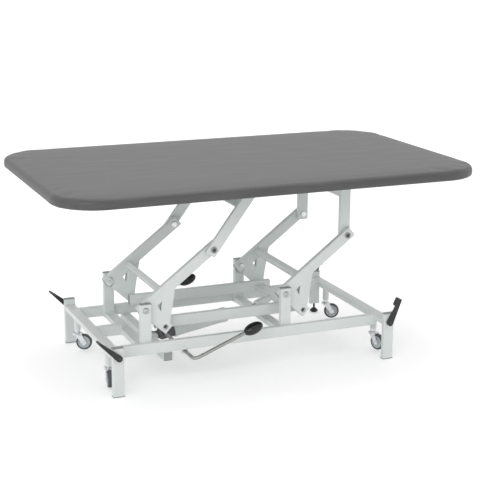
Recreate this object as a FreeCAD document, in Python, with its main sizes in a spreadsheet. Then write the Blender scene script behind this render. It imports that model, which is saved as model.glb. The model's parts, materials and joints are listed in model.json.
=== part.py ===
import FreeCAD, Part
import os
import re
import Sketcher

# Height-adjustable therapy mat table. Millimetres and degrees.
# The origin is on the floor under the middle of the mat. +X runs along the mat, +Y across it
# to the far side and +Z up. "left" is -X, "near" is -Y. The table is drawn raised.

doc = FreeCAD.newDocument("TherapyMatTable")
sheet = doc.addObject("Spreadsheet::Sheet", "Sizes")

# Driving sizes. Every name holds an underscore, which is how expressions tell it from a function.
SIZES = dict(
    # padded top
    mat_length=1950, mat_width=1200, mat_thickness=50, mat_corner=200,
    mat_top_round=23, mat_low_round=11,
    board_inset=40, board_thickness=12, pad_gap=0.3,
    # welded rectangular tube
    tube_wide=50, tube_thin=25, tube_wall=2, tube_corner=4,
    # base frame
    base_width=790, leg_span=1294, base_shift=-45, leg_height=220,
    beam_height=177.5, rail_low=143,
    post_height=362, cap_plate=3, foot_plate=5, plug_depth=12, plug_slack=0.2,
    # lifting linkage
    pivot_height=333, pivot_left=-531.5, pivot_span=663, arm_inner=234, running_gap=0.5,
    arm_length=396, arm_angle=37, arm_over=27,
    bell_angle=80, crank_length=134, crank_over=22,
    gusset_reach=160, gusset_wall=4, gusset_hole_reach=82, gusset_hole_start=53,
    gusset_hole_low=51.5, gusset_hole_drop=60,
    pin_radius=8, pin_fit=0.05, head_radius=13, head_thick=4, nut_thick=6, cut_over=1,
    brace_reach=110, brace_drop=10,
    sync_inner=171, sleeve_radius=13, pin_recess=6,
    # top frame
    top_rise=290, top_rail_length=1300, link_angle=53.3, link_thick=20, link_reach=328, link_over=6,
    link_beam_reach=235, post_beam_low=167,
    # hydraulic ram
    pump_beam_x=-442, pump_beam_size=40, ram_pin_x=42, ram_pin_drop=5, ram_pin_radius=6,
    ram_eye_radius=15, ram_eye_cut=10.5, ram_eye_thick=22, ram_gap=0.6, ram_head_over=4, lug_thick=6,
    casting_radius=30, casting_start=19, casting_length=75, casting_shoulder=10,
    cylinder_radius=33, cylinder_wall=6, cylinder_length=262, gland_length=22, gland_step=2,
    rod_radius=10, rod_into_eye=7.5, piston_start=242, piston_length=20,
    ram_bar_back=26, ram_bar_drop=6, ram_lug_reach=60, ram_lug_drop=30,
    lug_round=20, lug_nose=16, lug_flat=12,
    # pump pedal
    pedal_x=-357, pedal_height=132, pedal_half_width=412, pedal_arm=293, pedal_angle=21.2,
    pedal_radius=8, pedal_bend=28, pedal_play=2.5, hanger_thick=6, hanger_width=28, hanger_over=13,
    pad_long=92, pad_tall=52, pad_wide=56,
    # foot levers at the corners
    shaft_radius=8, lever_reach=120, lever_hub=14, lever_tip=4.5, lever_thick=15, lever_gap=1,
    lever_pad=40, lever_pad_depth=42, lever_pad_thick=8, lever_pad_round=9,
    lever_left_angle=42, lever_right_angle=65,
    # castors
    castor_y=250, socket_low=105, socket_radius=15.5, plunger_radius=13, plunger_low=93,
    plunger_high=166, kingpin_radius=5, kingpin_length=20,
    wheel_radius=37.5, wheel_width=24, wheel_lift=8, castor_offset=30, axle_radius=4,
    tyre_depth=9, tyre_shoulder=4, tyre_round=1.2, web_thick=9, hub_radius=10,
    fork_plate=3, fork_gap=1.5, fork_top=34, fork_eye=12, crown_radius=21, crown_thick=4, crown_gap=2,
    swivel_near_left=100, swivel_near_right=70, swivel_far_left=23, swivel_far_right=23,
    # levelling foot
    short_leg_low=53, foot_mount=4, foot_mount_over=1, foot_radius=21, foot_sole_radius=13,
    foot_neck_radius=9.5, foot_edge_low=7, foot_edge_high=11, foot_tall=22, stem_radius=5, stem_top=80,
)

# Sizes that follow from the ones above.
DERIVED = dict(
    leg_outer="base_width / 2",
    leg_inner="leg_outer - tube_thin",
    leg_left_x="base_shift - leg_span / 2",
    leg_right_x="base_shift + leg_span / 2",
    leg_tube_top="leg_height - cap_plate",
    rail_length="leg_span - tube_wide",
    rail_z="rail_low + tube_wide / 2",
    arm_outer="arm_inner + tube_thin",
    arm_y="arm_inner + tube_thin / 2",
    post_inner="arm_outer + running_gap",
    post_y="post_inner + tube_thin / 2",
    post_outer="post_inner + tube_thin",
    post_tube_top="post_height - cap_plate",
    rail_y="post_outer + tube_thin / 2",
    rail_outer="post_outer + tube_thin",
    pivot_right="pivot_left + pivot_span",
    crank_angle="arm_angle - bell_angle",
    head_z="pivot_height + arm_length * sin(arm_angle)",
    head_left_x="pivot_left + arm_length * cos(arm_angle)",
    head_right_x="pivot_right + arm_length * cos(arm_angle)",
    crank_z="pivot_height + crank_length * sin(crank_angle)",
    crank_left_x="pivot_left + crank_length * cos(crank_angle)",
    crank_right_x="pivot_right + crank_length * cos(crank_angle)",
    sync_outer="sync_inner + tube_thin",
    sync_y="sync_inner + tube_thin / 2",
    frame_top="head_z + top_rise",
    top_rail_thick="tube_thin + 2 * running_gap",
    top_rail_y="arm_y",
    upright_outer="arm_inner - running_gap",
    upright_y="upright_outer - tube_thin / 2",
    upright_inner="upright_outer - tube_thin",
    link_y="arm_outer + running_gap + link_thick / 2",
    link_outer="arm_outer + running_gap + link_thick",
    ram_base_x="pump_beam_x + ram_pin_x",
    ram_base_z="rail_low - pump_beam_size / 2 - ram_pin_drop",
    ram_bar_x="crank_right_x - ram_bar_back",
    ram_bar_z="crank_z - ram_bar_drop",
    ram_head_x="ram_bar_x - tube_wide / 2 - ram_lug_reach",
    ram_head_z="ram_bar_z - ram_lug_drop",
    ram_length="hypot(ram_head_x - ram_base_x; ram_head_z - ram_base_z)",
    ram_tilt="atan2(ram_head_z - ram_base_z; ram_head_x - ram_base_x)",
    casting_end="casting_start + casting_length",
    cylinder_end="casting_end + cylinder_length",
    cylinder_bore="cylinder_radius - cylinder_wall",
    wheel_z="wheel_lift + wheel_radius",
    lever_y="leg_outer + lever_gap + lever_thick / 2",
    fork_inner="wheel_width / 2 + fork_gap",
    fork_outer="fork_inner + fork_plate",
)


def expression(text):
    """Writes a formula with the sheet's cells in place of the names."""
    text = str(text)
    while True:
        wider = re.sub(r"\b[a-z]+(?:_[a-z]+)+\b",
                       lambda name: "(" + DERIVED[name[0]] + ")" if name[0] in DERIVED else name[0], text)
        if wider == text:
            break
        text = wider
    return re.sub(r"\b[a-z]+(?:_[a-z]+)+\b", r"Sizes.\g<0>", text)


for row, (name, size) in enumerate(SIZES.items(), 1):
    sheet.set("A%d" % row, name)
    sheet.set("B%d" % row, str(size))
    sheet.setAlias("B%d" % row, name)
doc.recompute()


def size_of(text):
    """Gives the present value of a formula."""
    return float(sheet.evalExpression(expression(text)))


NODES = []


def new_body(label):
    body = doc.addObject("PartDesign::Body", label)
    body.AllowCompound = True
    NODES.append(body)
    return body


def new_sketch(body, plane, offset=(0, 0, 0), tilt=None):
    """Starts a sketch on an origin plane. The offset and tilt are in the plane's own directions."""
    sketch = body.newObject("Sketcher::SketchObject", body.Name + "_sketch")
    role = {"XY": "XY_Plane", "XZ": "XZ_Plane", "YZ": "YZ_Plane"}[plane]
    support = [feature for feature in body.Origin.OriginFeatures if feature.Role == role][0]
    sketch.AttachmentSupport = [(support, "")]
    sketch.MapMode = "FlatFace"
    if tilt is not None:
        turn = FreeCAD.Rotation(FreeCAD.Vector(1, 0, 0), 1)
        sketch.AttachmentOffset = FreeCAD.Placement(FreeCAD.Vector(), turn)
        sketch.setExpression("AttachmentOffset.Rotation.Angle", expression(tilt))
    for direction, distance in zip("xyz", offset):
        sketch.setExpression("AttachmentOffset.Base." + direction, expression(distance))
    return sketch


def tie(sketch, constraint, formula):
    """Adds a dimension and binds it to the sheet."""
    number = sketch.addConstraint(constraint)
    name = "size%d" % number
    sketch.renameConstraint(number, name)
    sketch.setExpression("Constraints." + name, expression(formula))


def polygon(sketch, points):
    """Draws a closed outline whose corners are tied to the sheet."""
    places = [FreeCAD.Vector(size_of(x), size_of(y), 0) for x, y in points]
    first = sketch.GeometryCount
    for here, there in zip(places, places[1:] + places[:1]):
        sketch.addGeometry(Part.LineSegment(here, there))
    for step, (x, y) in enumerate(points):
        line = first + step
        before = first + (step - 1) % len(points)
        sketch.addConstraint(Sketcher.Constraint("Coincident", before, 2, line, 1))
        tie(sketch, Sketcher.Constraint("DistanceX", -1, 1, line, 1, places[step].x), x)
        tie(sketch, Sketcher.Constraint("DistanceY", -1, 1, line, 1, places[step].y), y)


def circle(sketch, x, y, radius):
    centre = FreeCAD.Vector(size_of(x), size_of(y), 0)
    ring = sketch.addGeometry(Part.Circle(centre, FreeCAD.Vector(0, 0, 1), size_of(radius)))
    tie(sketch, Sketcher.Constraint("DistanceX", -1, 1, ring, 3, centre.x), x)
    tie(sketch, Sketcher.Constraint("DistanceY", -1, 1, ring, 3, centre.y), y)
    tie(sketch, Sketcher.Constraint("Radius", ring, size_of(radius)), radius)


def box_outline(sketch, wide, tall, x="0", y="0"):
    """Draws a rectangle about a centre."""
    corners = ((-1, -1), (1, -1), (1, 1), (-1, 1))
    polygon(sketch, [("%s + %d * (%s) / 2" % (x, across, wide), "%s + %d * (%s) / 2" % (y, up, tall))
                     for across, up in corners])


def rounded_outline(sketch, wide, tall, radius):
    """Draws a rectangle with round corners about the sketch's origin."""
    half_wide, half_tall, round_size = size_of(wide) / 2, size_of(tall) / 2, size_of(radius)
    in_wide, in_tall = half_wide - round_size, half_tall - round_size
    up = FreeCAD.Vector(0, 0, 1)
    sides = (((-in_wide, -half_tall), (in_wide, -half_tall)), ((half_wide, -in_tall), (half_wide, in_tall)),
             ((in_wide, half_tall), (-in_wide, half_tall)), ((-half_wide, in_tall), (-half_wide, -in_tall)))
    centres = ((in_wide, -in_tall), (in_wide, in_tall), (-in_wide, in_tall), (-in_wide, -in_tall))
    first = sketch.GeometryCount
    quarter = 1.5707963267948966
    for step in range(4):
        start, end = sides[step]
        sketch.addGeometry(Part.LineSegment(FreeCAD.Vector(*start, 0), FreeCAD.Vector(*end, 0)))
        whole = Part.Circle(FreeCAD.Vector(*centres[step], 0), up, round_size)
        sketch.addGeometry(Part.ArcOfCircle(whole, quarter * (step - 1), quarter * step))
    for step in range(4):
        line, arc, following = first + 2 * step, first + 2 * step + 1, first + (2 * step + 2) % 8
        sketch.addConstraint(Sketcher.Constraint("Tangent", line, 2, arc, 1))
        sketch.addConstraint(Sketcher.Constraint("Tangent", arc, 2, following, 1))
        sketch.addConstraint(Sketcher.Constraint("Vertical" if step % 2 else "Horizontal", line))
        if step:
            sketch.addConstraint(Sketcher.Constraint("Equal", first + 1, arc))
    tie(sketch, Sketcher.Constraint("Radius", first + 1, round_size), radius)
    tie(sketch, Sketcher.Constraint("DistanceX", -1, 1, first + 2, 1, half_wide), "(%s) / 2" % wide)
    tie(sketch, Sketcher.Constraint("DistanceX", first + 6, 1, -1, 1, half_wide), "(%s) / 2" % wide)
    tie(sketch, Sketcher.Constraint("DistanceY", -1, 1, first + 4, 1, half_tall), "(%s) / 2" % tall)
    tie(sketch, Sketcher.Constraint("DistanceY", first, 1, -1, 1, half_tall), "(%s) / 2" % tall)


def pad(body, sketch, length):
    """Thickens a sketch by half the length to each side."""
    feature = body.newObject("PartDesign::Pad", body.Name + "_pad")
    feature.Profile = sketch
    feature.SideType = "Symmetric"
    feature.setExpression("Length", expression(length))
    sketch.Visibility = False
    return feature


def pocket(body, sketch, length=None, one_side=False):
    """Cuts a sketch to both sides, through everything where no length is given."""
    feature = body.newObject("PartDesign::Pocket", body.Name + "_pocket")
    feature.Profile = sketch
    if not one_side:
        feature.SideType = "Symmetric"
    if length is None:
        feature.Type = "ThroughAll"
    else:
        feature.setExpression("Length", expression(length))
    return feature


def place(body, x, y, z, angle=None):
    """Puts a body in the table. A positive angle lifts its +X end."""
    if angle is not None:
        body.Placement = FreeCAD.Placement(FreeCAD.Vector(), FreeCAD.Rotation(FreeCAD.Vector(0, -1, 0), 1))
        body.setExpression("Placement.Rotation.Angle", expression(angle))
    for direction, distance in zip("xyz", (x, y, z)):
        body.setExpression("Placement.Base." + direction, expression(distance))


def tube_section(sketch, wide, tall, wall="tube_wall", corner="tube_corner"):
    rounded_outline(sketch, wide, tall, corner)
    box_outline(sketch, "%s - 2 * %s" % (wide, wall), "%s - 2 * %s" % (tall, wall))


def tube(label, plane, wide, tall, length):
    """Makes an open rectangular tube, square to an origin plane and centred on it."""
    body = new_body(label)
    section = new_sketch(body, plane)
    tube_section(section, wide, tall)
    pad(body, section, length)
    return body


def disc(body, radius, low, high, x="0", z="0"):
    """Adds a round boss along Y between two places across the table."""
    sketch = new_sketch(body, "XZ", offset=("0", "0", "-((%s) + (%s)) / 2" % (low, high)))
    circle(sketch, x, z, radius)
    pad(body, sketch, "abs((%s) - (%s))" % (high, low))


def bore(body, radius, x="0", z="0"):
    """Drills a hole along Y through the body."""
    sketch = new_sketch(body, "XZ")
    circle(sketch, x, z, radius)
    pocket(body, sketch)


SIDES = (("near", -1), ("far", 1))
ENDS = (("left", -1), ("right", 1))

# Side rails, on edge, between the end beams. Each carries a hanger for the pump pedal's shaft.
for side, sign in SIDES:
    rail = tube("rail_" + side, "YZ", "tube_thin", "tube_wide", "rail_length")
    hanger = new_sketch(rail, "XZ", offset=("0", "0", "%d * (tube_thin - hanger_thick) / 2" % sign))
    box_outline(hanger, "hanger_width", "rail_low - pedal_height + hanger_over",
                x="pedal_x - base_shift", y="(pedal_height - hanger_over - rail_low) / 2 - tube_wide / 2")
    pad(rail, hanger, "hanger_thick")
    bore(rail, "pedal_radius + pin_fit", x="pedal_x - base_shift", z="pedal_height - rail_z")
    place(rail, "base_shift", "%d * (rail_y)" % sign, "rail_z")

# Middle rail, from the left end beam to the left cross member.
middle = tube("rail_middle", "YZ", "tube_thin", "tube_wide", "pivot_left - leg_left_x - tube_wide")
place(middle, "(pivot_left + leg_left_x) / 2", "0", "rail_z")

# End beams, laid flat between the legs, each with two round sockets for the castor plungers.
for end, sign in ENDS:
    beam = tube("beam_" + end, "XZ", "tube_wide", "tube_thin", "2 * leg_inner")
    sockets = new_sketch(beam, "XY", offset=("0", "0", "(socket_low + tube_wall - beam_height"
                                             " - tube_thin / 2) / 2"))
    cavity = new_sketch(beam, "XY")
    for side, across in SIDES:
        circle(sockets, "0", "%d * castor_y" % across, "socket_radius")
        circle(cavity, "0", "%d * castor_y" % across, "plunger_radius + pin_fit")
    pad(beam, sockets, "beam_height - tube_thin / 2 + tube_wall - socket_low")
    pocket(beam, cavity, "beam_height - socket_low + cut_over", one_side=True)
    place(beam, "leg_%s_x" % end, "0", "beam_height")

# Legs, outside the end beams. The far right one is short and ends in a plate for a screw foot.
for side, across in SIDES:
    for end, along in ENDS:
        short = (side, end) == ("far", "right")
        low = "short_leg_low" if short else "foot_plate"
        centre = "((%s + leg_tube_top) / 2)" % low
        leg = tube("leg_%s_%s" % (side, end), "XY", "tube_wide", "tube_thin", "leg_tube_top - " + low)
        bore(leg, "shaft_radius + pin_fit", z="beam_height - " + centre)
        if short:
            plate = new_sketch(leg, "XY", offset=("0", "0", "short_leg_low - foot_mount / 2 - " + centre))
            rounded_outline(plate, "tube_wide + 2 * foot_mount_over", "tube_thin + 2 * foot_mount_over",
                            "tube_corner")
            circle(plate, "0", "0", "stem_radius + pin_fit")
            pad(leg, plate, "foot_mount")
        place(leg, "leg_%s_x" % end, "%d * (leg_inner + tube_thin / 2)" % across, centre)

# Lift posts, welded inside the rails, with the bolts that the bell cranks turn on.
for side, across in SIDES:
    for end, along in ENDS:
        centre = "((rail_low + post_tube_top) / 2)"
        post = tube("post_%s_%s" % (side, end), "XY", "tube_wide", "tube_thin", "post_tube_top - rail_low")
        spot = "pivot_height - " + centre
        disc(post, "pin_radius", "%d * (post_outer - post_y)" % across,
             "%d * (arm_inner - running_gap - post_y)" % across, z=spot)
        disc(post, "head_radius", "%d * (post_outer - post_y)" % across,
             "%d * (post_outer + head_thick - post_y)" % across, z=spot)
        disc(post, "head_radius", "%d * (arm_inner - running_gap - nut_thick - post_y)" % across,
             "%d * (arm_inner - running_gap - post_y)" % across, z=spot)
        place(post, "pivot_" + end, "%d * (post_y)" % across, centre)

# Cross members, laid flat between the lift posts under the swing of the cranks.
for end, along in ENDS:
    cross = tube("cross_" + end, "XZ", "tube_wide", "tube_thin", "2 * post_inner")
    place(cross, "pivot_" + end, "0", "rail_low + tube_thin / 2")

# Square tube slung under the rails, with the clevis that holds the ram.
pump = tube("pump_beam", "XZ", "pump_beam_size", "pump_beam_size", "2 * rail_outer")
clevis = new_sketch(pump, "XZ")
polygon(clevis, (("pump_beam_size / 2", "-pump_beam_size / 2 + tube_corner"),
                 ("ram_pin_x", "-ram_eye_radius - ram_pin_drop"),
                 ("ram_pin_x + ram_eye_cut", "-ram_eye_cut - ram_pin_drop"),
                 ("ram_pin_x + ram_eye_radius", "-ram_pin_drop"),
                 ("ram_pin_x + ram_eye_cut", "ram_eye_cut - ram_pin_drop"),
                 ("ram_pin_x", "ram_eye_radius - ram_pin_drop"),
                 ("pump_beam_size / 2", "pump_beam_size / 2 - tube_corner")))
pad(pump, clevis, "ram_eye_thick + 2 * ram_gap + 2 * lug_thick")
gap = new_sketch(pump, "XZ")
box_outline(gap, "2 * ram_pin_x", "2 * pump_beam_size", x="pump_beam_size / 2 + ram_pin_x")
pocket(pump, gap, "ram_eye_thick + 2 * ram_gap")
disc(pump, "ram_pin_radius", "-ram_eye_thick / 2 - ram_gap - lug_thick - cap_plate",
     "ram_eye_thick / 2 + ram_gap + lug_thick + cap_plate", x="ram_pin_x", z="-ram_pin_drop")
place(pump, "pump_beam_x", "0", "rail_low - pump_beam_size / 2")


def end_pieces(label, spots):
    """Makes thin plastic end pieces with plugs. A spot is x, y, plate middle and plug middle."""
    body = new_body(label)
    for plate_z, plate_thick, plug_z in sorted({spot[2:] for spot in spots}):
        plates = new_sketch(body, "XY", offset=("0", "0", plate_z))
        plugs = new_sketch(body, "XY", offset=("0", "0", plug_z))
        for x, y in [spot[:2] for spot in spots if spot[2] == plate_z]:
            box_outline(plates, "tube_wide", "tube_thin", x=x, y=y)
            box_outline(plugs, "tube_wide - 2 * tube_wall - 2 * plug_slack",
                        "tube_thin - 2 * tube_wall - 2 * plug_slack", x=x, y=y)
        pad(body, plates, plate_thick)
        pad(body, plugs, "plug_depth")
    return body


# Feet under three legs, and plugs in the tops of the legs and posts.
feet = [("leg_%s_x" % end, "%d * (leg_inner + tube_thin / 2)" % across,
         "foot_plate / 2", "foot_plate", "foot_plate + plug_depth / 2")
        for side, across in SIDES for end, along in ENDS if (side, end) != ("far", "right")]
end_pieces("foot_caps", feet)
tops = [("leg_%s_x" % end, "%d * (leg_inner + tube_thin / 2)" % across,
         "leg_tube_top + cap_plate / 2", "cap_plate", "leg_tube_top - plug_depth / 2")
        for side, across in SIDES for end, along in ENDS]
tops += [("pivot_" + end, "%d * (post_y)" % across,
          "post_tube_top + cap_plate / 2", "cap_plate", "post_tube_top - plug_depth / 2")
         for side, across in SIDES for end, along in ENDS]
end_pieces("end_plugs", tops)


def turned(label, points, axis):
    """Turns an outline about an axis of the body. Points are along the axis, then out from it."""
    body = new_body(label)
    sketch = new_sketch(body, "YZ" if axis == "Y_Axis" else "XZ")
    if axis == "Z_Axis":
        points = [(out, along) for along, out in points]
    polygon(sketch, points)
    feature = body.newObject("PartDesign::Revolution", label + "_turn")
    feature.Profile = sketch
    line = [item for item in body.Origin.OriginFeatures if item.Role == axis][0]
    feature.ReferenceAxis = (line, [""])
    feature.Angle = 360
    return body


# Screw foot under the short leg.
levelling = turned("levelling_foot", (
    ("0", "0"), ("0", "foot_sole_radius"), ("foot_edge_low", "foot_radius"),
    ("foot_edge_high", "foot_radius"), ("foot_tall", "foot_neck_radius"), ("foot_tall", "stem_radius"),
    ("stem_top", "stem_radius"), ("stem_top", "0")), "Z_Axis")
place(levelling, "leg_right_x", "leg_inner + tube_thin / 2", "0")

# Bell cranks. Each is a long arm and a short crank of the same tube, stiffened by two plates.
for side, across in SIDES:
    for end, along in ENDS:
        arm = new_body("arm_%s_%s" % (side, end))
        plates = new_sketch(arm, "XZ")
        polygon(plates, (("0", "0"), ("gusset_reach", "0"), ("gusset_reach", "-tube_wide / 2"),
                         ("crank_length * cos(bell_angle) + tube_wide / 2", "-crank_length * sin(bell_angle)"),
                         ("crank_length * cos(bell_angle)", "-crank_length * sin(bell_angle)")))
        pad(arm, plates, "tube_thin")
        hollow = new_sketch(arm, "XZ")
        box_outline(hollow, "2 * gusset_reach + 2 * tube_wide", "2 * crank_length + 2 * tube_wide")
        pocket(arm, hollow, "tube_thin - 2 * gusset_wall")
        triangle = new_sketch(arm, "XZ")
        polygon(triangle, (("gusset_hole_reach", "-tube_wide / 2 - gusset_wall"),
                           ("gusset_hole_start", "-tube_wide / 2 - gusset_wall"),
                           ("gusset_hole_low", "-gusset_hole_drop")))
        pocket(arm, triangle)
        section = new_sketch(arm, "YZ", offset=("0", "0", "arm_length / 2"))
        tube_section(section, "tube_thin", "tube_wide")
        pad(arm, section, "arm_length + 2 * arm_over")
        middle_reach = "(crank_length + crank_over + tube_wide / 2) / 2"
        crank = new_sketch(arm, "YZ", tilt="bell_angle",
                           offset=("0", "-%s * sin(bell_angle)" % middle_reach,
                                   "%s * cos(bell_angle)" % middle_reach))
        tube_section(crank, "tube_thin", "tube_wide")
        pad(arm, crank, "crank_length + crank_over - tube_wide / 2")
        bore(arm, "pin_radius + pin_fit")
        bore(arm, "pin_radius + pin_fit", x="arm_length")
        bore(arm, "pin_radius + pin_fit", x="crank_length * cos(bell_angle)",
             z="-crank_length * sin(bell_angle)")
        place(arm, "pivot_" + end, "%d * (arm_y)" % across, "pivot_height", angle="arm_angle")

# Braces between the two arms of each pair.
for end, along in ENDS:
    brace = tube("arm_brace_" + end, "XZ", "tube_thin", "tube_wide", "2 * arm_inner")
    place(brace, "pivot_%s + brace_reach * cos(arm_angle) + brace_drop * sin(arm_angle)" % end, "0",
          "pivot_height + brace_reach * sin(arm_angle) - brace_drop * cos(arm_angle)", angle="arm_angle")

# Level bars that tie the two pairs of cranks together, with the bolts that the cranks turn on.
for side, across in SIDES:
    sync = tube("sync_bar_" + side, "YZ", "tube_thin", "tube_wide", "pivot_span + tube_wide")
    for along in (-1, 1):
        spot = "%d * pivot_span / 2" % along
        disc(sync, "pin_radius", "%d * (sync_inner - sync_y)" % across,
             "%d * (arm_outer - pin_recess - sync_y)" % across, x=spot)
        disc(sync, "sleeve_radius", "%d * (sync_outer - sync_y)" % across,
             "%d * (arm_inner - running_gap - sync_y)" % across, x=spot)
    place(sync, "(crank_left_x + crank_right_x) / 2", "%d * (sync_y)" % across, "crank_z")

# Flat bar between the level bars that the ram pushes, with two lugs for the rod's eye.
bar = tube("ram_bar", "XZ", "tube_wide", "tube_thin", "2 * sync_inner")
lugs = new_sketch(bar, "XZ")
polygon(lugs, (("-tube_wide / 2", "tube_thin / 2 - tube_wall"),
               ("-tube_wide / 2 - ram_lug_reach", "lug_round - ram_lug_drop"),
               ("-tube_wide / 2 - ram_lug_reach - lug_nose", "lug_flat - ram_lug_drop"),
               ("-tube_wide / 2 - ram_lug_reach - lug_nose", "-lug_flat - ram_lug_drop"),
               ("-tube_wide / 2 - ram_lug_reach", "-lug_round - ram_lug_drop"),
               ("-tube_wide / 2", "-tube_thin / 2")))
pad(bar, lugs, "ram_eye_thick + 2 * ram_gap + 2 * lug_thick")
gap = new_sketch(bar, "XZ")
box_outline(gap, "4 * lug_round", "6 * lug_round", x="-tube_wide / 2 - 2 * lug_round")
pocket(bar, gap, "ram_eye_thick + 2 * ram_gap")
for sign in (-1, 1):
    disc(bar, "ram_pin_radius + ram_head_over", "%d * (ram_eye_thick / 2 + ram_gap + lug_thick)" % sign,
         "%d * (ram_eye_thick / 2 + ram_gap + lug_thick + head_thick)" % sign,
         x="-tube_wide / 2 - ram_lug_reach", z="-ram_lug_drop")
place(bar, "ram_bar_x", "0", "ram_bar_z")

# Hydraulic ram: the end casting with its eye, the cylinder and the rod. +X runs along the ram.
# The pedal's bar passes through a wide hole in the casting, where it works the pump.
casting = turned("ram_casting", (("casting_start", "0"), ("casting_start", "casting_radius - casting_shoulder"),
                                 ("casting_start + casting_shoulder", "casting_radius"),
                                 ("casting_end", "casting_radius"), ("casting_end", "0")), "X_Axis")
eye = new_sketch(casting, "XZ")
circle(eye, "0", "0", "ram_eye_radius")
pad(casting, eye, "ram_eye_thick")
neck = new_sketch(casting, "XZ")
box_outline(neck, "casting_start + cut_over", "2 * ram_eye_radius", x="(casting_start + cut_over) / 2")
pad(casting, neck, "ram_eye_thick")
bore(casting, "ram_pin_radius + pin_fit")
bore(casting, "pedal_radius + pedal_play",
     x="(pedal_x - ram_base_x) * cos(ram_tilt) + (pedal_height - ram_base_z) * sin(ram_tilt)",
     z="(pedal_height - ram_base_z) * cos(ram_tilt) - (pedal_x - ram_base_x) * sin(ram_tilt)")
place(casting, "ram_base_x", "0", "ram_base_z", angle="ram_tilt")

cylinder = turned("ram_cylinder", (("casting_end", "cylinder_bore"), ("casting_end", "cylinder_radius"),
                                   ("cylinder_end - gland_length", "cylinder_radius"),
                                   ("cylinder_end - gland_length", "cylinder_radius + gland_step"),
                                   ("cylinder_end", "cylinder_radius + gland_step"),
                                   ("cylinder_end", "rod_radius + pin_fit"),
                                   ("cylinder_end - gland_length", "rod_radius + pin_fit"),
                                   ("cylinder_end - gland_length", "cylinder_bore")), "X_Axis")
place(cylinder, "ram_base_x", "0", "ram_base_z", angle="ram_tilt")

rod = turned("ram_rod", (("piston_start", "0"), ("piston_start", "cylinder_bore - pin_fit"),
                         ("piston_start + piston_length", "cylinder_bore - pin_fit"),
                         ("piston_start + piston_length", "rod_radius"),
                         ("ram_length - rod_into_eye", "rod_radius"),
                         ("ram_length - rod_into_eye", "0")), "X_Axis")
eye = new_sketch(rod, "XZ")
circle(eye, "ram_length", "0", "ram_eye_radius")
pad(rod, eye, "ram_eye_thick")
bore(rod, "ram_pin_radius", x="ram_length")
place(rod, "ram_base_x", "0", "ram_base_z", angle="ram_tilt")

# Top frame: side rails over the arms, cross rails, uprights to the right arms, links to the left.
for side, across in SIDES:
    top_rail = tube("top_rail_" + side, "YZ", "top_rail_thick", "tube_wide", "top_rail_length")
    place(top_rail, "0", "%d * (top_rail_y)" % across, "frame_top - tube_wide / 2")

for end, along in ENDS:
    top_cross = tube("top_cross_" + end, "XZ", "tube_thin", "tube_wide", "2 * upright_outer")
    place(top_cross, "%d * (top_rail_length - tube_wide) / 2" % along, "0", "frame_top - tube_wide / 2")

for side, across in SIDES:
    centre = "((head_z - arm_over + frame_top) / 2)"
    upright = tube("upright_" + side, "XY", "tube_wide", "tube_thin", "frame_top - head_z + arm_over")
    spot = "head_z - " + centre
    disc(upright, "pin_radius", "%d * (upright_inner - upright_y)" % across,
         "%d * (arm_outer + running_gap - upright_y)" % across, z=spot)
    disc(upright, "head_radius", "%d * (arm_outer + running_gap - upright_y)" % across,
         "%d * (arm_outer + running_gap + head_thick - upright_y)" % across, z=spot)
    disc(upright, "head_radius", "%d * (upright_inner - nut_thick - upright_y)" % across,
         "%d * (upright_inner - upright_y)" % across, z=spot)
    place(upright, "head_right_x", "%d * (upright_y)" % across, centre)

upright_beam = tube("upright_beam", "XZ", "tube_thin", "tube_wide", "2 * upright_inner")
place(upright_beam, "head_right_x", "0", "head_z + post_beam_low + tube_wide / 2")

for side, across in SIDES:
    link = new_body("link_" + side)
    section = new_sketch(link, "YZ", offset=("0", "0", "(link_reach + link_over - arm_over) / 2"))
    tube_section(section, "link_thick", "tube_wide")
    pad(link, section, "link_reach + link_over + arm_over")
    disc(link, "pin_radius", "%d * (link_outer - link_y)" % across,
         "%d * (arm_inner - running_gap - link_y)" % across)
    disc(link, "head_radius", "%d * (link_outer - link_y)" % across,
         "%d * (link_outer + head_thick - link_y)" % across)
    disc(link, "head_radius", "%d * (arm_inner - running_gap - nut_thick - link_y)" % across,
         "%d * (arm_inner - running_gap - link_y)" % across)
    place(link, "head_left_x", "%d * (link_y)" % across, "head_z", angle="link_angle")

link_beam = tube("link_beam", "XZ", "tube_wide", "tube_thin", "2 * (arm_outer + running_gap)")
place(link_beam, "head_left_x + link_beam_reach * cos(link_angle)", "0",
      "head_z + link_beam_reach * sin(link_angle)", angle="link_angle")

# Plywood board, let into the underside of the cushion.
board = new_body("board")
outline = new_sketch(board, "XY", offset=("0", "0", "board_thickness / 2"))
rounded_outline(outline, "mat_length - 2 * board_inset", "mat_width - 2 * board_inset",
                "mat_corner - board_inset")
pad(board, outline, "board_thickness")
place(board, "0", "0", "frame_top")

# Padded mat: a wide flat cushion with large round corners and soft edges.
mat = new_body("mat")
outline = new_sketch(mat, "XY", offset=("0", "0", "mat_thickness / 2"))
rounded_outline(outline, "mat_length", "mat_width", "mat_corner")
block = pad(mat, outline, "mat_thickness")
doc.recompute()


def level_edges(feature, level):
    """Lists the edges of a feature that lie flat at a height."""
    return ["Edge%d" % number for number, edge in enumerate(feature.Shape.Edges, 1)
            if abs(edge.BoundBox.ZMin - level) < 0.01 and abs(edge.BoundBox.ZMax - level) < 0.01]


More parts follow.
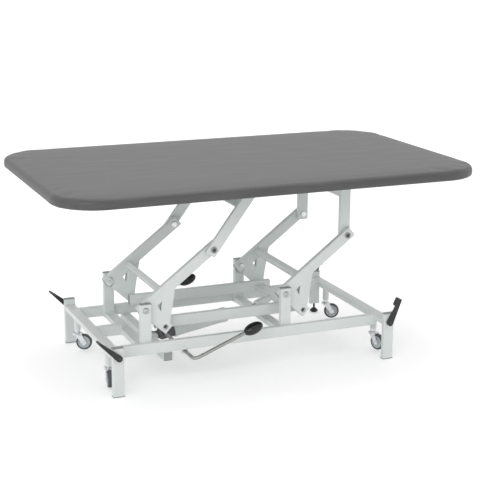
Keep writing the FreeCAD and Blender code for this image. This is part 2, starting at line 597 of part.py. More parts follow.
upper = mat.newObject("PartDesign::Fillet", "mat_upper_round")
upper.Base = (block, level_edges(block, size_of("mat_thickness")))
upper.setExpression("Radius", expression("mat_top_round"))
doc.recompute()
lower = mat.newObject("PartDesign::Fillet", "mat_lower_round")
lower.Base = (upper, level_edges(upper, 0))
lower.setExpression("Radius", expression("mat_low_round"))
recess = new_sketch(mat, "XY")
rounded_outline(recess, "mat_length - 2 * board_inset + 2 * pad_gap",
                "mat_width - 2 * board_inset + 2 * pad_gap", "mat_corner - board_inset + pad_gap")
pocket(mat, recess, "2 * (board_thickness + pad_gap)")
place(mat, "0", "0", "frame_top")

# Pump pedal: one round bar bent into a wide U, with an egg-shaped pad on each end.
pedal = new_body("pedal_bar")
path = new_sketch(pedal, "XY")
bend, half, reach = size_of("pedal_bend"), size_of("pedal_half_width"), size_of("pedal_arm")
quarter = 1.5707963267948966
up = FreeCAD.Vector(0, 0, 1)
path.addGeometry(Part.LineSegment(FreeCAD.Vector(reach, -half, 0), FreeCAD.Vector(bend, -half, 0)))
path.addGeometry(Part.ArcOfCircle(Part.Circle(FreeCAD.Vector(bend, bend - half, 0), up, bend),
                                  2 * quarter, 3 * quarter))
path.addGeometry(Part.LineSegment(FreeCAD.Vector(0, bend - half, 0), FreeCAD.Vector(0, half - bend, 0)))
path.addGeometry(Part.ArcOfCircle(Part.Circle(FreeCAD.Vector(bend, half - bend, 0), up, bend),
                                  quarter, 2 * quarter))
path.addGeometry(Part.LineSegment(FreeCAD.Vector(bend, half, 0), FreeCAD.Vector(reach, half, 0)))
for one, one_end, other, other_end in ((0, 2, 1, 2), (1, 1, 2, 1), (2, 2, 3, 2), (3, 1, 4, 1)):
    path.addConstraint(Sketcher.Constraint("Tangent", one, one_end, other, other_end))
path.addConstraint(Sketcher.Constraint("Horizontal", 0))
path.addConstraint(Sketcher.Constraint("Vertical", 2))
path.addConstraint(Sketcher.Constraint("Horizontal", 4))
path.addConstraint(Sketcher.Constraint("Equal", 1, 3))
path.addConstraint(Sketcher.Constraint("PointOnObject", 2, 1, -2))
tie(path, Sketcher.Constraint("Radius", 1, bend), "pedal_bend")
tie(path, Sketcher.Constraint("DistanceX", -1, 1, 0, 1, reach), "pedal_arm")
tie(path, Sketcher.Constraint("DistanceX", -1, 1, 4, 2, reach), "pedal_arm")
tie(path, Sketcher.Constraint("DistanceY", 0, 1, -1, 1, half), "pedal_half_width")
tie(path, Sketcher.Constraint("DistanceY", -1, 1, 4, 2, half), "pedal_half_width")
end_face = new_sketch(pedal, "YZ", offset=("0", "0", "pedal_arm"))
circle(end_face, "-pedal_half_width", "0", "pedal_radius")
bar_sweep = pedal.newObject("PartDesign::AdditivePipe", "pedal_sweep")
bar_sweep.Profile = end_face
bar_sweep.Spine = path
place(pedal, "pedal_x", "0", "pedal_height", angle="pedal_angle")


def bound(kind, label, **formulas):
    """Adds a primitive with its properties tied to the sheet."""
    item = doc.addObject(kind, label)
    for name, formula in formulas.items():
        item.setExpression(name.replace("__", "."), expression(formula))
    return item


for side, across in SIDES:
    egg = bound("Part::Ellipsoid", "pedal_egg_" + side, Radius1="pad_tall / 2", Radius2="pad_long / 2",
                Radius3="pad_wide / 2", Placement__Base__x="pedal_arm",
                Placement__Base__y="%d * pedal_half_width" % across)
    hole = doc.addObject("Part::Cylinder", "pedal_hole_" + side)
    hole.Placement = FreeCAD.Placement(FreeCAD.Vector(), FreeCAD.Rotation(FreeCAD.Vector(0, 1, 0), 90))
    for name, formula in (("Radius", "pedal_radius"), ("Height", "pad_long"),
                          ("Placement.Base.x", "pedal_arm - pad_long"),
                          ("Placement.Base.y", "%d * pedal_half_width" % across)):
        hole.setExpression(name, expression(formula))
    pedal_pad = doc.addObject("Part::Cut", "pedal_pad_" + side)
    pedal_pad.Base = egg
    pedal_pad.Tool = hole
    NODES.append(pedal_pad)
    place(pedal_pad, "pedal_x", "0", "pedal_height", angle="pedal_angle")

# Foot levers. The near one of each end carries the shaft that runs through the end beam.
for end, along in ENDS:
    for side, across in SIDES:
        lever = new_body("lever_%s_%s" % (side, end))
        blade = new_sketch(lever, "XZ")
        polygon(blade, (("0", "%d * lever_hub" % along), ("lever_reach", "%d * lever_tip" % along),
                        ("lever_reach", "%d * -lever_tip" % along), ("0", "%d * -lever_hub" % along)))
        pad(lever, blade, "lever_thick")
        disc(lever, "lever_hub", "-lever_thick / 2", "lever_thick / 2")
        tread = new_sketch(lever, "XY", offset=("lever_reach - lever_pad / 2",
                                                "%d * (lever_thick - lever_pad_depth) / 2" % across, "0"))
        rounded_outline(tread, "lever_pad", "lever_pad_depth", "lever_pad_round")
        pad(lever, tread, "lever_pad_thick")
        if side == "near":
            disc(lever, "shaft_radius", "-lever_thick / 2", "2 * lever_y + lever_thick / 2")
        else:
            bore(lever, "shaft_radius + pin_fit")
        angle = "lever_right_angle" if end == "right" else "180 - lever_left_angle"
        place(lever, "leg_%s_x" % end, "%d * (lever_y)" % across, "beam_height", angle=angle)

# Castors. A plunger slides in each socket, the fork swivels under it and the wheel rolls in the fork.
# A wheel has a tyre with round shoulders, a thin web and a hub as wide as the tyre.
WHEEL = (("wheel_width / 2", "axle_radius + pin_fit"), ("wheel_width / 2", "hub_radius"),
         ("web_thick / 2", "hub_radius"), ("web_thick / 2", "wheel_radius - tyre_depth"),
         ("wheel_width / 2", "wheel_radius - tyre_depth"), ("wheel_width / 2", "wheel_radius - tyre_shoulder"),
         ("wheel_width / 2 - tyre_round", "wheel_radius - tyre_round"),
         ("wheel_width / 2 - tyre_shoulder", "wheel_radius"))
WHEEL = [("-(%s)" % along, out) for along, out in WHEEL] + list(reversed(WHEEL))
for end, along in ENDS:
    plungers = new_body("plungers_" + end)
    stems = new_sketch(plungers, "XY", offset=("0", "0", "(plunger_high + plunger_low) / 2"))
    holes = new_sketch(plungers, "XY", offset=("0", "0", "plunger_low + kingpin_length"))
    for side, across in SIDES:
        circle(stems, "0", "%d * castor_y" % across, "plunger_radius")
        circle(holes, "0", "%d * castor_y" % across, "kingpin_radius + pin_fit")
    pad(plungers, stems, "plunger_high - plunger_low")
    pocket(plungers, holes, "kingpin_length + cut_over", one_side=True)
    place(plungers, "leg_%s_x" % end, "0", "0")

for side, across in SIDES:
    for end, along in ENDS:
        corner = side + "_" + end
        fork = new_body("fork_" + corner)
        cheeks = new_sketch(fork, "XZ")
        crown_low = "plunger_low - pin_fit - crown_gap - crown_thick"
        polygon(cheeks, (("-fork_top / 2", "plunger_low - crown_gap"), ("-fork_top / 2", crown_low),
                         ("castor_offset - fork_eye", "wheel_z"), ("castor_offset + fork_eye", "wheel_z"),
                         ("fork_top / 2", "plunger_low - crown_gap")))
        pad(fork, cheeks, "2 * fork_outer")
        disc(fork, "fork_eye", "-fork_outer", "fork_outer", x="castor_offset", z="wheel_z")
        between = new_sketch(fork, "XZ")
        box_outline(between, "4 * wheel_radius", "2 * wheel_radius", y="%s - wheel_radius" % crown_low)
        pocket(fork, between, "2 * fork_inner")
        crown = new_sketch(fork, "XY", offset=("0", "0", "plunger_low - crown_gap - crown_thick / 2"))
        circle(crown, "0", "0", "crown_radius")
        pad(fork, crown, "crown_thick")
        race = new_sketch(fork, "XY", offset=("0", "0", "plunger_low - (crown_gap + running_gap) / 2"))
        circle(race, "0", "0", "plunger_radius")
        pad(fork, race, "crown_gap - running_gap")
        kingpin = new_sketch(fork, "XY", offset=("0", "0",
                                                   "plunger_low + (kingpin_length - crown_gap) / 2"))
        circle(kingpin, "0", "0", "kingpin_radius")
        pad(fork, kingpin, "kingpin_length + crown_gap - 2 * cut_over")
        disc(fork, "axle_radius", "-fork_outer", "fork_outer", x="castor_offset", z="wheel_z")
        turn = FreeCAD.Rotation(FreeCAD.Vector(0, 0, 1), 1)
        fork.Placement = FreeCAD.Placement(FreeCAD.Vector(), turn)
        fork.setExpression("Placement.Rotation.Angle", expression("-swivel_" + corner))
        place(fork, "leg_%s_x" % end, "%d * castor_y" % across, "0")

        wheel = turned("wheel_" + corner, WHEEL, "Y_Axis")
        wheel.Placement = FreeCAD.Placement(FreeCAD.Vector(), turn)
        wheel.setExpression("Placement.Rotation.Angle", expression("-swivel_" + corner))
        place(wheel, "leg_%s_x + castor_offset * cos(swivel_%s)" % (end, corner),
              "%d * castor_y - castor_offset * sin(swivel_%s)" % (across, corner), "wheel_z")

doc.recompute()

faults = [item.Name for item in doc.Objects if {"Invalid", "Error"} & set(item.State)]
for item in doc.Objects:
    if item.TypeId == "PartDesign::Pocket" and item.BaseFeature is not None:
        if item.Shape.Volume > item.BaseFeature.Shape.Volume - 0.01:
            faults.append(item.Name + " cuts nothing")
for node in NODES:
    if node.Shape.isNull() or not node.Shape.isValid():
        faults.append(node.Name)
if faults:
    raise SystemExit("Not built: " + ", ".join(faults))

os.makedirs("parts", exist_ok=True)
for node in NODES:
    node.Shape.exportStep("parts/%s.step" % node.Label)
    print(node.Label, len(node.Shape.Solids), round(node.Shape.Volume))
print(len(NODES), "nodes")
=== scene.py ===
import json
import math

import bmesh
import bpy
from mathutils import Matrix, Vector


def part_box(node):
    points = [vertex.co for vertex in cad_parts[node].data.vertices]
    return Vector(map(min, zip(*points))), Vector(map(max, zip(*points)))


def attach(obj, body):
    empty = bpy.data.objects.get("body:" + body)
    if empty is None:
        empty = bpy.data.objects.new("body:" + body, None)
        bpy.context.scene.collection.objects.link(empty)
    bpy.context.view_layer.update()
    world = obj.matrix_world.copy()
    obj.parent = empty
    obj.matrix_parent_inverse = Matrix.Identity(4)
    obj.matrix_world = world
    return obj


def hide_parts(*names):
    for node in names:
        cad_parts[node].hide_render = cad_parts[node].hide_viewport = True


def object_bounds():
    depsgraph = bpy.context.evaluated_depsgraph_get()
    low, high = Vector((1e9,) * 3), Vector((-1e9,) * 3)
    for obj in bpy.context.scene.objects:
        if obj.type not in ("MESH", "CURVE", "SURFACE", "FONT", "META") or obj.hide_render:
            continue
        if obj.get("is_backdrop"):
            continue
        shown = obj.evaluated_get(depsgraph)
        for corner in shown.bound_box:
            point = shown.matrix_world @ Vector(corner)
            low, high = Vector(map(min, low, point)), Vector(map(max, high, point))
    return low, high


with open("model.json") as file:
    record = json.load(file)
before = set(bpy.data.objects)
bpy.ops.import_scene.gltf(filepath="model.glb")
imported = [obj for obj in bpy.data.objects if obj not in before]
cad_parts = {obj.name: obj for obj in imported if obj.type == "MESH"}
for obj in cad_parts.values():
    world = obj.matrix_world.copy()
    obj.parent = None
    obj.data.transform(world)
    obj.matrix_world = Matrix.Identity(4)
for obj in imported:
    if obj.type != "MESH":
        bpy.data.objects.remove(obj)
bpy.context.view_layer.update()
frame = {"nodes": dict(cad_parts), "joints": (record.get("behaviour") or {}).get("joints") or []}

# Therapy mat table: a padded top on a lifting frame of welded tube, with a hydraulic ram, a pump
# pedal, four castors that the corner levers let down, and one screw foot. Metres, as in the CAD.

nodes = frame["nodes"]
joints = {joint["name"]: joint for joint in frame["joints"]}
SIDES = (("near", -1), ("far", 1))
ENDS = (("left", -1), ("right", 1))
CORNERS = [side + "_" + end for side, across in SIDES for end, along in ENDS]


# Frame tubes. Welded mild steel, 50 by 25 mm, with an off-white powder coat that is baked on.
# The coat has a fine orange-peel surface, and it is a little uneven in tone and gloss.
def new_finish(name, colour, roughness, metallic=0.0):
    """Starts a finish and returns it with its shader."""
    finish = bpy.data.materials.new(name)
    finish.use_nodes = True
    shader = finish.node_tree.nodes["Principled BSDF"]
    shader.inputs["Base Color"].default_value = (*colour, 1)
    shader.inputs["Roughness"].default_value = roughness
    shader.inputs["Metallic"].default_value = metallic
    return finish, shader


def pattern(finish, size, stretch=(1, 1, 1), detail=4.0, kind="Noise"):
    """Adds a noise or cell pattern, laid out in the piece's own metres, and returns its strength."""
    tree = finish.node_tree
    place = tree.nodes.new("ShaderNodeTexCoord")
    mapping = tree.nodes.new("ShaderNodeMapping")
    mapping.inputs["Scale"].default_value = stretch
    texture = tree.nodes.new("ShaderNodeTex" + kind)
    texture.inputs["Scale"].default_value = 1 / size
    texture.inputs["Detail"].default_value = detail
    tree.links.new(place.outputs["Object"], mapping.inputs["Vector"])
    tree.links.new(mapping.outputs["Vector"], texture.inputs["Vector"])
    return texture.outputs[0]


def tones(finish, source, stops):
    """Turns a strength into colours. A stop is a place from 0 to 1 and a colour."""
    ramp = finish.node_tree.nodes.new("ShaderNodeValToRGB")
    band = ramp.color_ramp
    while len(band.elements) < len(stops):
        band.elements.new(0.5)
    for element, (spot, colour) in zip(band.elements, stops):
        element.position = spot
        element.color = (*colour, 1)
    finish.node_tree.links.new(source, ramp.inputs["Fac"])
    return ramp.outputs["Color"]


def spread(finish, source, low, high, start=0.3, end=0.7):
    """Turns a strength into a number between low and high."""
    scale = finish.node_tree.nodes.new("ShaderNodeMapRange")
    for name, value in (("From Min", start), ("From Max", end), ("To Min", low), ("To Max", high)):
        scale.inputs[name].default_value = value
    finish.node_tree.links.new(source, scale.inputs["Value"])
    return scale.outputs["Result"]


def relief(finish, shader, layers):
    """Raises the surface by one or more patterns. A layer is a pattern and its height in metres."""
    before = None
    for source, height in layers:
        bump = finish.node_tree.nodes.new("ShaderNodeBump")
        bump.inputs["Distance"].default_value = height
        bump.inputs["Strength"].default_value = 1.0
        finish.node_tree.links.new(source, bump.inputs["Height"])
        if before is not None:
            finish.node_tree.links.new(before, bump.inputs["Normal"])
        before = bump.outputs["Normal"]
    finish.node_tree.links.new(before, shader.inputs["Normal"])


def connect(finish, source, shader, name):
    finish.node_tree.links.new(source, shader.inputs[name])


def wear(node, finish):
    """Gives a CAD node its finish."""
    mesh = nodes[node].data
    mesh.materials.clear()
    mesh.materials.append(finish)


paint, paint_shader = new_finish("powder_coat", (0.78, 0.82, 0.805), 0.36)
cloud = pattern(paint, 0.22, detail=3)
connect(paint, tones(paint, cloud, ((0.3, (0.745, 0.785, 0.775)), (0.7, (0.795, 0.835, 0.82)))),
        paint_shader, "Base Color")
connect(paint, spread(paint, pattern(paint, 0.03), 0.30, 0.42), paint_shader, "Roughness")
relief(paint, paint_shader, ((pattern(paint, 0.0022, detail=2), 0.00006),
                             (pattern(paint, 0.012, detail=2), 0.00012)))
painted = [name for name in nodes if name.startswith((
    "rail_", "beam_", "leg_", "post_", "cross_", "pump_beam", "arm_", "sync_bar_", "ram_bar",
    "top_rail_", "top_cross_", "upright_", "link_"))]
for name in painted:
    wear(name, paint)


# Welds. Short runs of weld metal where the tubes meet, under the powder coat. Each run is a row of
# overlapping ripples, and each frame that moves has its own.
def new_tree(name, sizes):
    """Starts a Geometry Nodes tree with geometry in and out and named inputs."""
    tree = bpy.data.node_groups.new(name, "GeometryNodeTree")
    for label, kind in [("Geometry", "Geometry")] + sizes:
        tree.interface.new_socket(label, in_out="INPUT", socket_type="NodeSocket" + kind)
    tree.interface.new_socket("Geometry", in_out="OUTPUT", socket_type="NodeSocketGeometry")
    return tree, tree.nodes.new("NodeGroupInput").outputs


def close_tree(tree, inputs, instances):
    """Ends a tree: its copies become real faces, smooth and with their finish."""
    before = instances
    for kind in ("RealizeInstances", "SetShadeSmooth", "SetMaterial"):
        node = tree.nodes.new("GeometryNode" + kind)
        tree.links.new(before, node.inputs["Geometry"])
        before = node.outputs["Geometry"]
    tree.links.new(inputs["Finish"], node.inputs["Material"])
    tree.links.new(before, tree.nodes.new("NodeGroupOutput").inputs["Geometry"])


def grown(name, mesh, tree, values, body):
    """Runs a tree on a mesh, keeps the result as a plain mesh and lets it ride on a body."""
    piece = bpy.data.objects.new(name, mesh)
    bpy.context.scene.collection.objects.link(piece)
    grower = piece.modifiers.new("grow", "NODES")
    grower.node_group = tree
    for socket in tree.interface.items_tree:
        if socket.in_out == "INPUT" and socket.name in values:
            grower[socket.identifier] = values[socket.name]
    graph = bpy.context.evaluated_depsgraph_get()
    result = bpy.data.meshes.new_from_object(piece.evaluated_get(graph))
    piece.modifiers.clear()
    piece.data = result
    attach(piece, body)
    return piece


weld_tree, asked = new_tree("weld_bead", [("Ripple spacing", "Float"), ("Bead radius", "Float"),
                                          ("Seed", "Int"), ("Finish", "Material")])
paths = weld_tree.nodes.new("GeometryNodeMeshToCurve")
stations = weld_tree.nodes.new("GeometryNodeResampleCurve")
stations.mode = "LENGTH"
ripple = weld_tree.nodes.new("GeometryNodeMeshIcoSphere")
ripple.inputs["Subdivisions"].default_value = 2
forward_way = weld_tree.nodes.new("GeometryNodeInputTangent")
facing_way = weld_tree.nodes.new("FunctionNodeAlignRotationToVector")
facing_way.axis = "X"
uneven = weld_tree.nodes.new("FunctionNodeRandomValue")
uneven.inputs["Min"].default_value, uneven.inputs["Max"].default_value = 0.8, 1.15
stamp = weld_tree.nodes.new("GeometryNodeInstanceOnPoints")
join = weld_tree.links.new
join(asked["Geometry"], paths.inputs["Mesh"])
join(paths.outputs["Curve"], stations.inputs["Curve"])
join(asked["Ripple spacing"], stations.inputs["Length"])
join(asked["Bead radius"], ripple.inputs["Radius"])
join(asked["Seed"], uneven.inputs["Seed"])
join(forward_way.outputs["Tangent"], facing_way.inputs["Vector"])
join(stations.outputs["Curve"], stamp.inputs["Points"])
join(ripple.outputs["Mesh"], stamp.inputs["Instance"])
join(facing_way.outputs["Rotation"], stamp.inputs["Rotation"])
join([socket for socket in uneven.outputs if socket.enabled][0], stamp.inputs["Scale"])
close_tree(weld_tree, asked, stamp.outputs["Instances"])


def turned_in(joint, reach, drop):
    """Gives a place on an arm or link, from its pin: along it, and square to it."""
    pin, angle = joint
    return (pin[0] + reach * math.cos(angle) - drop * math.sin(angle),
            pin[1] + reach * math.sin(angle) + drop * math.cos(angle))


def frame_on(y, corners):
    """Closes a loop of (x, z) corners on an upright plane along the table."""
    return [(x, y, z) for x, z in corners]


def upright_frame(y, x_range, z_range):
    (x0, x1), (z0, z1) = x_range, z_range
    return frame_on(y, ((x0, z0), (x1, z0), (x1, z1), (x0, z1)))


half_wide, half_thin, arm_over = 0.025, 0.0125, 0.0270
leg_x = {"left": -0.692, "right": 0.602}
pivot = {"left": (-0.5315, 0.333), "right": (0.1315, 0.333)}
head = {"left": (-0.21524, 0.57132), "right": (0.44776, 0.57132)}
crank = {"left": (-0.4335, 0.24161), "right": (0.2295, 0.24161)}
arm_angle, link_angle = math.radians(37), math.radians(53.3)
arm_inner, arm_outer, post_outer, rail_outer = 0.234, 0.259, 0.2845, 0.3095
rail_low, rail_high, beam_low, beam_high = 0.143, 0.193, 0.165, 0.190
beam_end, cross_end, link_outer = 0.370, 0.2595, 0.2795
upright_outer, upright_inner, upright_foot, sync_inner = 0.2335, 0.2085, 0.167, 0.171
top_cross_x = (0.625, 0.650)
pump_beam_x, pump_beam_z, pump_beam_size = -0.442, 0.123, 0.040
brace_reach, brace_drop, gusset_start, gusset_end, link_beam_reach = 0.110, 0.010, 0.054, 0.160, 0.235
frame_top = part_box("board")[0].z
runs = {"base": [], "top": [], "arms_left": [], "arms_right": [], "sync": []}
for end, along in ENDS:
    across_post = (pivot[end][0] - half_wide, pivot[end][0] + half_wide)
    across_leg = (leg_x[end] - half_wide, leg_x[end] + half_wide)
    beam_face = leg_x[end] - along * half_wide
    for side, across in SIDES:
        runs["base"] += [
            [(beam_face, across * y, z) for y, z in ((post_outer, beam_low), (rail_outer, beam_low),
                                                     (rail_outer, beam_high), (post_outer, beam_high))],
            upright_frame(across * beam_end, across_leg, (beam_low, beam_high)),
            upright_frame(across * post_outer, across_post, (rail_low, rail_high)),
            upright_frame(across * cross_end, across_post, (rail_low, rail_low + 2 * half_thin))]
        brace = [turned_in((pivot[end], arm_angle), brace_reach + a * half_thin,
                           b * half_wide - brace_drop)
                 for a, b in ((-1, -1), (1, -1), (1, 1), (-1, 1))]
        runs["arms_" + end] += [
            frame_on(across * arm_inner, brace),
            frame_on(across * arm_inner, [turned_in((pivot[end], arm_angle), reach, -half_wide)
                                          for reach in (gusset_start, gusset_end)])]
        runs["top"] += [upright_frame(across * upright_outer, [along * x for x in top_cross_x],
                                      (frame_top - 2 * half_wide, frame_top - 0.001))]
for side, across in SIDES:
    across_head = (head["right"][0] - half_wide, head["right"][0] + half_wide)
    beam_z = head["right"][1] + upright_foot
    link = (head["left"], link_angle)
    strip = [turned_in(link, link_beam_reach + a * half_wide, b * half_thin)
             for a, b in ((-1, -1), (1, -1), (1, 1), (-1, 1))]
    rise = (frame_top - 2 * half_wide - head["left"][1]) / math.sin(link_angle)
    lean = half_wide / math.tan(link_angle)
    runs["top"] += [
        upright_frame(across * upright_outer, across_head,
                      (frame_top - 2 * half_wide, frame_top - 0.001)),
        upright_frame(across * upright_inner,
                      (head["right"][0] - half_thin, head["right"][0] + half_thin),
                      (beam_z, beam_z + 2 * half_wide)),
        frame_on(across * cross_end, strip),
        frame_on(across * (cross_end + 0.0002), [turned_in(link, rise + lean, -half_wide),
                                                 turned_in(link, rise - lean, half_wide)])]
    bar_low, bar_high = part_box("ram_bar")
    runs["sync"] += [upright_frame(across * sync_inner, (bar_high.x - 2 * half_wide, bar_high.x),
                                   (bar_high.z - 2 * half_thin, bar_high.z))]
    pump_low, pump_high = pump_beam_x - pump_beam_size / 2, pump_beam_x + pump_beam_size / 2
    runs["base"] += [[(x, across * y, rail_low)
                      for x, y in ((pump_low, post_outer), (pump_high, post_outer),
                                   (pump_high, rail_outer), (pump_low, rail_outer))]]
for x, low, high in ((leg_x["left"] + half_wide, beam_low, beam_high),
                     (pivot["left"][0] - half_wide, rail_low, rail_low + 2 * half_thin)):
    runs["base"].append([(x, y, z) for y, z in ((-half_thin, low), (half_thin, low),
                                                (half_thin, high), (-half_thin, high))])
for body, loops in runs.items():
    spots, edges = [], []
    for loop in loops:
        first = len(spots)
        spots += loop
        edges += [(first + k, first + k + 1) for k in range(len(loop) - 1)]
        if len(loop) > 2:
            edges.append((first + len(loop) - 1, first))
    lines = bpy.data.meshes.new("weld_lines")
    lines.from_pydata(spots, edges, [])
    grown("welds_" + body, lines, weld_tree, {"Ripple spacing": 0.0032, "Bead radius": 0.0021,
                                              "Seed": 7, "Finish": paint}, body)


# Padded mat. Foam on the plywood board, under grey vinyl that is pulled over the edges and stapled
# below. The foam is fuller in the middle, and the vinyl gathers in small pleats at the corners.
mat_low, mat_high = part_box("mat")
mat_length, mat_width = mat_high.x - mat_low.x, mat_high.y - mat_low.y
mat_corner = 0.200
steps_along, steps_across = 116, 72
slack = 0.003
edge_round = 0.021
foot_round = 0.010
board_inset = 0.0397
board_thick = 0.0123


def outline(inset):
    """Walks round the mat's outline in even steps from the middle of one corner's arc."""
    half = Vector((mat_length / 2 - inset, mat_width / 2 - inset))
    bend = max(mat_corner - inset, 0.002)
    quarter = bend * math.pi / 2
    sides = (2 * (half.x - bend), 2 * (half.y - bend)) * 2
    centres = ((1, -1), (1, 1), (-1, 1), (-1, -1))
    walks = ((1, 0), (0, 1), (-1, 0), (0, -1))
    points = []
    for number in range(4):
        count = (steps_along, steps_across)[number % 2]
        whole = sides[number] + quarter
        walk = Vector(walks[number])
        start = Vector(centres[number - 1])
        end = Vector(centres[number])
        for step in range(count):
            gone = whole * step / count
            if gone < quarter / 2:
                centre, turn = start, gone / bend - math.pi / 4
            elif gone < quarter / 2 + sides[number]:
                centre, turn = start, 0
            else:
                centre, turn = end, (gone - sides[number] - quarter / 2) / bend
            middle = Vector((centre.x * (half.x - bend), centre.y * (half.y - bend)))
            if turn == 0:
                middle += walk * (gone - quarter / 2)
            facing = (number - 1) * math.pi / 2 + turn
            points.append(middle + bend * Vector((math.cos(facing), math.sin(facing))))
    return points


def sheet_spots(inset):
    """Fills the outline with a grid that is square in the middle and follows it at the edge."""
    border = outline(inset)
    total = len(border)
    half_long, half_wide = mat_length / 2 - inset, mat_width / 2 - inset
    spots = {}
    for i in range(steps_along + 1):
        for j in range(steps_across + 1):
            u, v = 2 * i / steps_along - 1, 2 * j / steps_across - 1
            reach = max(abs(u), abs(v))
            if reach == 0:
                spots[i, j] = Vector((0, 0))
                continue
            a, b = u / reach, v / reach
            if b == -1:
                walk = (a + 1) / 2 * steps_along
            elif a == 1:
                walk = steps_along + (b + 1) / 2 * steps_across
            elif b == 1:
                walk = steps_along + steps_across + (1 - a) / 2 * steps_along
            else:
                walk = 2 * steps_along + steps_across + (1 - b) / 2 * steps_across
            first = int(walk) % total
            rest = walk - int(walk)
            edge = border[first].lerp(border[(first + 1) % total], rest) * reach
            straight = Vector((u * half_long, v * half_wide))
            spots[i, j] = straight.lerp(edge, reach ** 3)
    return spots


def border_keys():
    """Names the grid's border places in the order of the outline's points."""
    keys = [(i, 0) for i in range(steps_along)]
    keys += [(steps_along, j) for j in range(steps_across)]
    keys += [(steps_along - i, steps_across) for i in range(steps_along)]
    keys += [(0, steps_across - j) for j in range(steps_across)]
    return keys


top_z, foot_z = mat_high.z - slack, mat_low.z + 0.0004
profile = [(0.075, top_z), (0.050, top_z), (0.034, top_z - 0.0002)]
for step in range(7):
    turn = math.pi / 2 * step / 6
    profile.append((slack + edge_round * (1 - math.sin(turn)),
                    top_z - edge_round * (1 - math.cos(turn))))
profile.append((slack - 0.0006, (top_z + foot_z) / 2 - 0.002))
for step in range(5):
    turn = math.pi / 2 * step / 4
    profile.append((slack + foot_round * (1 - math.cos(turn)),
                    foot_z + foot_round * (1 - math.sin(turn))))
profile += [(0.024, foot_z), (board_inset - 0.0015, foot_z), (board_inset, foot_z + 0.0015),
            (board_inset, mat_low.z + board_thick - 0.002), (board_inset, mat_low.z + board_thick)]
shape = bmesh.new()
keys = border_keys()
rings = []
for inset, height in profile:
    rings.append([shape.verts.new((spot.x, spot.y, height)) for spot in outline(inset)])
held_from = len(profile) - 6
for upper, lower in zip(rings, rings[1:]):
    for k in range(len(keys)):
        after = (k + 1) % len(keys)
        shape.faces.new((upper[k], lower[k], lower[after], upper[after]))
inner = []
for ring, inset, height in ((rings[0], *profile[0]), (rings[-1], *profile[-1])):
    border = dict(zip(keys, ring))
    grid = {}
    for key, spot in sheet_spots(inset).items():
        grid[key] = border.get(key) or shape.verts.new((spot.x, spot.y, height))
    inner.append(grid)
    for i in range(steps_along):
        for j in range(steps_across):
            corners = [grid[i, j], grid[i + 1, j], grid[i + 1, j + 1], grid[i, j + 1]]
            shape.faces.new(corners if ring is rings[0] else corners[::-1])
shape.verts.index_update()
held = {vert.index for ring in rings[held_from:] for vert in ring}
held |= {vert.index for vert in inner[1].values()}
mat_mesh = bpy.data.meshes.new("mat_cover")
shape.to_mesh(mat_mesh)
shape.free()
mat_cover = bpy.data.objects.new("mat_cover", mat_mesh)
bpy.context.scene.collection.objects.link(mat_cover)

puff = 0.0042
grip = mat_cover.vertex_groups.new(name="held")
grip.add(sorted(held), 1.0, "REPLACE")
before = [vert.co.copy() for vert in mat_mesh.vertices]
cloth = mat_cover.modifiers.new("foam", "CLOTH")
cloth.settings.vertex_group_mass = "held"
cloth.settings.quality = 4
cloth.settings.use_pressure = True
cloth.settings.uniform_pressure_force = 4
cloth.settings.effector_weights.gravity = 0
for number in range(1, 21):
    bpy.context.scene.frame_set(number)
graph = bpy.context.evaluated_depsgraph_get()
puffed = mat_cover.evaluated_get(graph).to_mesh()
moved = [vert.co.copy() for vert in puffed.vertices]
mat_cover.evaluated_get(graph).to_mesh_clear()
mat_cover.modifiers.remove(cloth)
bpy.context.scene.frame_set(1)
for vert, start, end in zip(mat_mesh.vertices, before, moved):
    step = end - start
    if step.length > 1e-9:
        vert.co = start + step.normalized() * puff * math.tanh(step.length / puff)

finer = mat_cover.modifiers.new("finer", "SUBSURF")
finer.levels = finer.render_levels = 1
graph = bpy.context.evaluated_depsgraph_get()
fine_mesh = bpy.data.meshes.new_from_object(mat_cover.evaluated_get(graph))
mat_cover.modifiers.clear()
mat_cover.data = fine_mesh
pleat_width = 0.021
pleat_depth = 0.0011
for vert in fine_mesh.vertices:
    x, y, z = vert.co
    from_x = abs(x) - (mat_length / 2 - mat_corner)
    from_y = abs(y) - (mat_width / 2 - mat_corner)
    if from_x <= 0 or from_y <= 0 or z > mat_low.z + 0.026:
        continue
    reach = math.hypot(from_x, from_y)
    if reach < mat_corner - board_inset + 0.002:
        continue
    turn = math.atan2(from_y, from_x)
    fade = math.sin(2 * turn) ** 0.5 * min(1, (mat_low.z + 0.026 - z) / 0.018)
    wave = math.sin(turn * mat_corner / pleat_width * 2 * math.pi + 0.8 * math.sin(9 * turn))
    inward = Vector((-math.copysign(from_x, x), -math.copysign(from_y, y), 0)).normalized()
    vert.co += inward * pleat_depth * fade * (0.6 + 0.6 * wave)
fine_mesh.shade_smooth()

vinyl, vinyl_shader = new_finish("grey_vinyl", (0.078, 0.078, 0.080), 0.42)
streaks = pattern(vinyl, 0.035, stretch=(0.16, 1, 1), detail=5)
connect(vinyl, tones(vinyl, streaks, ((0.28, (0.064, 0.064, 0.066)), (0.5, (0.078, 0.078, 0.080)),
                                      (0.74, (0.098, 0.098, 0.100)))), vinyl_shader, "Base Color")
connect(vinyl, spread(vinyl, streaks, 0.40, 0.50), vinyl_shader, "Roughness")
relief(vinyl, vinyl_shader, ((pattern(vinyl, 0.0016, detail=2, kind="Voronoi"), 0.00007),
                             (pattern(vinyl, 0.0045, stretch=(0.5, 1, 1)), 0.00010),
                             (pattern(vinyl, 0.09, stretch=(0.5, 1, 1), detail=2), 0.0009)))
fine_mesh.materials.append(vinyl)
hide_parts("mat")
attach(mat_cover, "top")


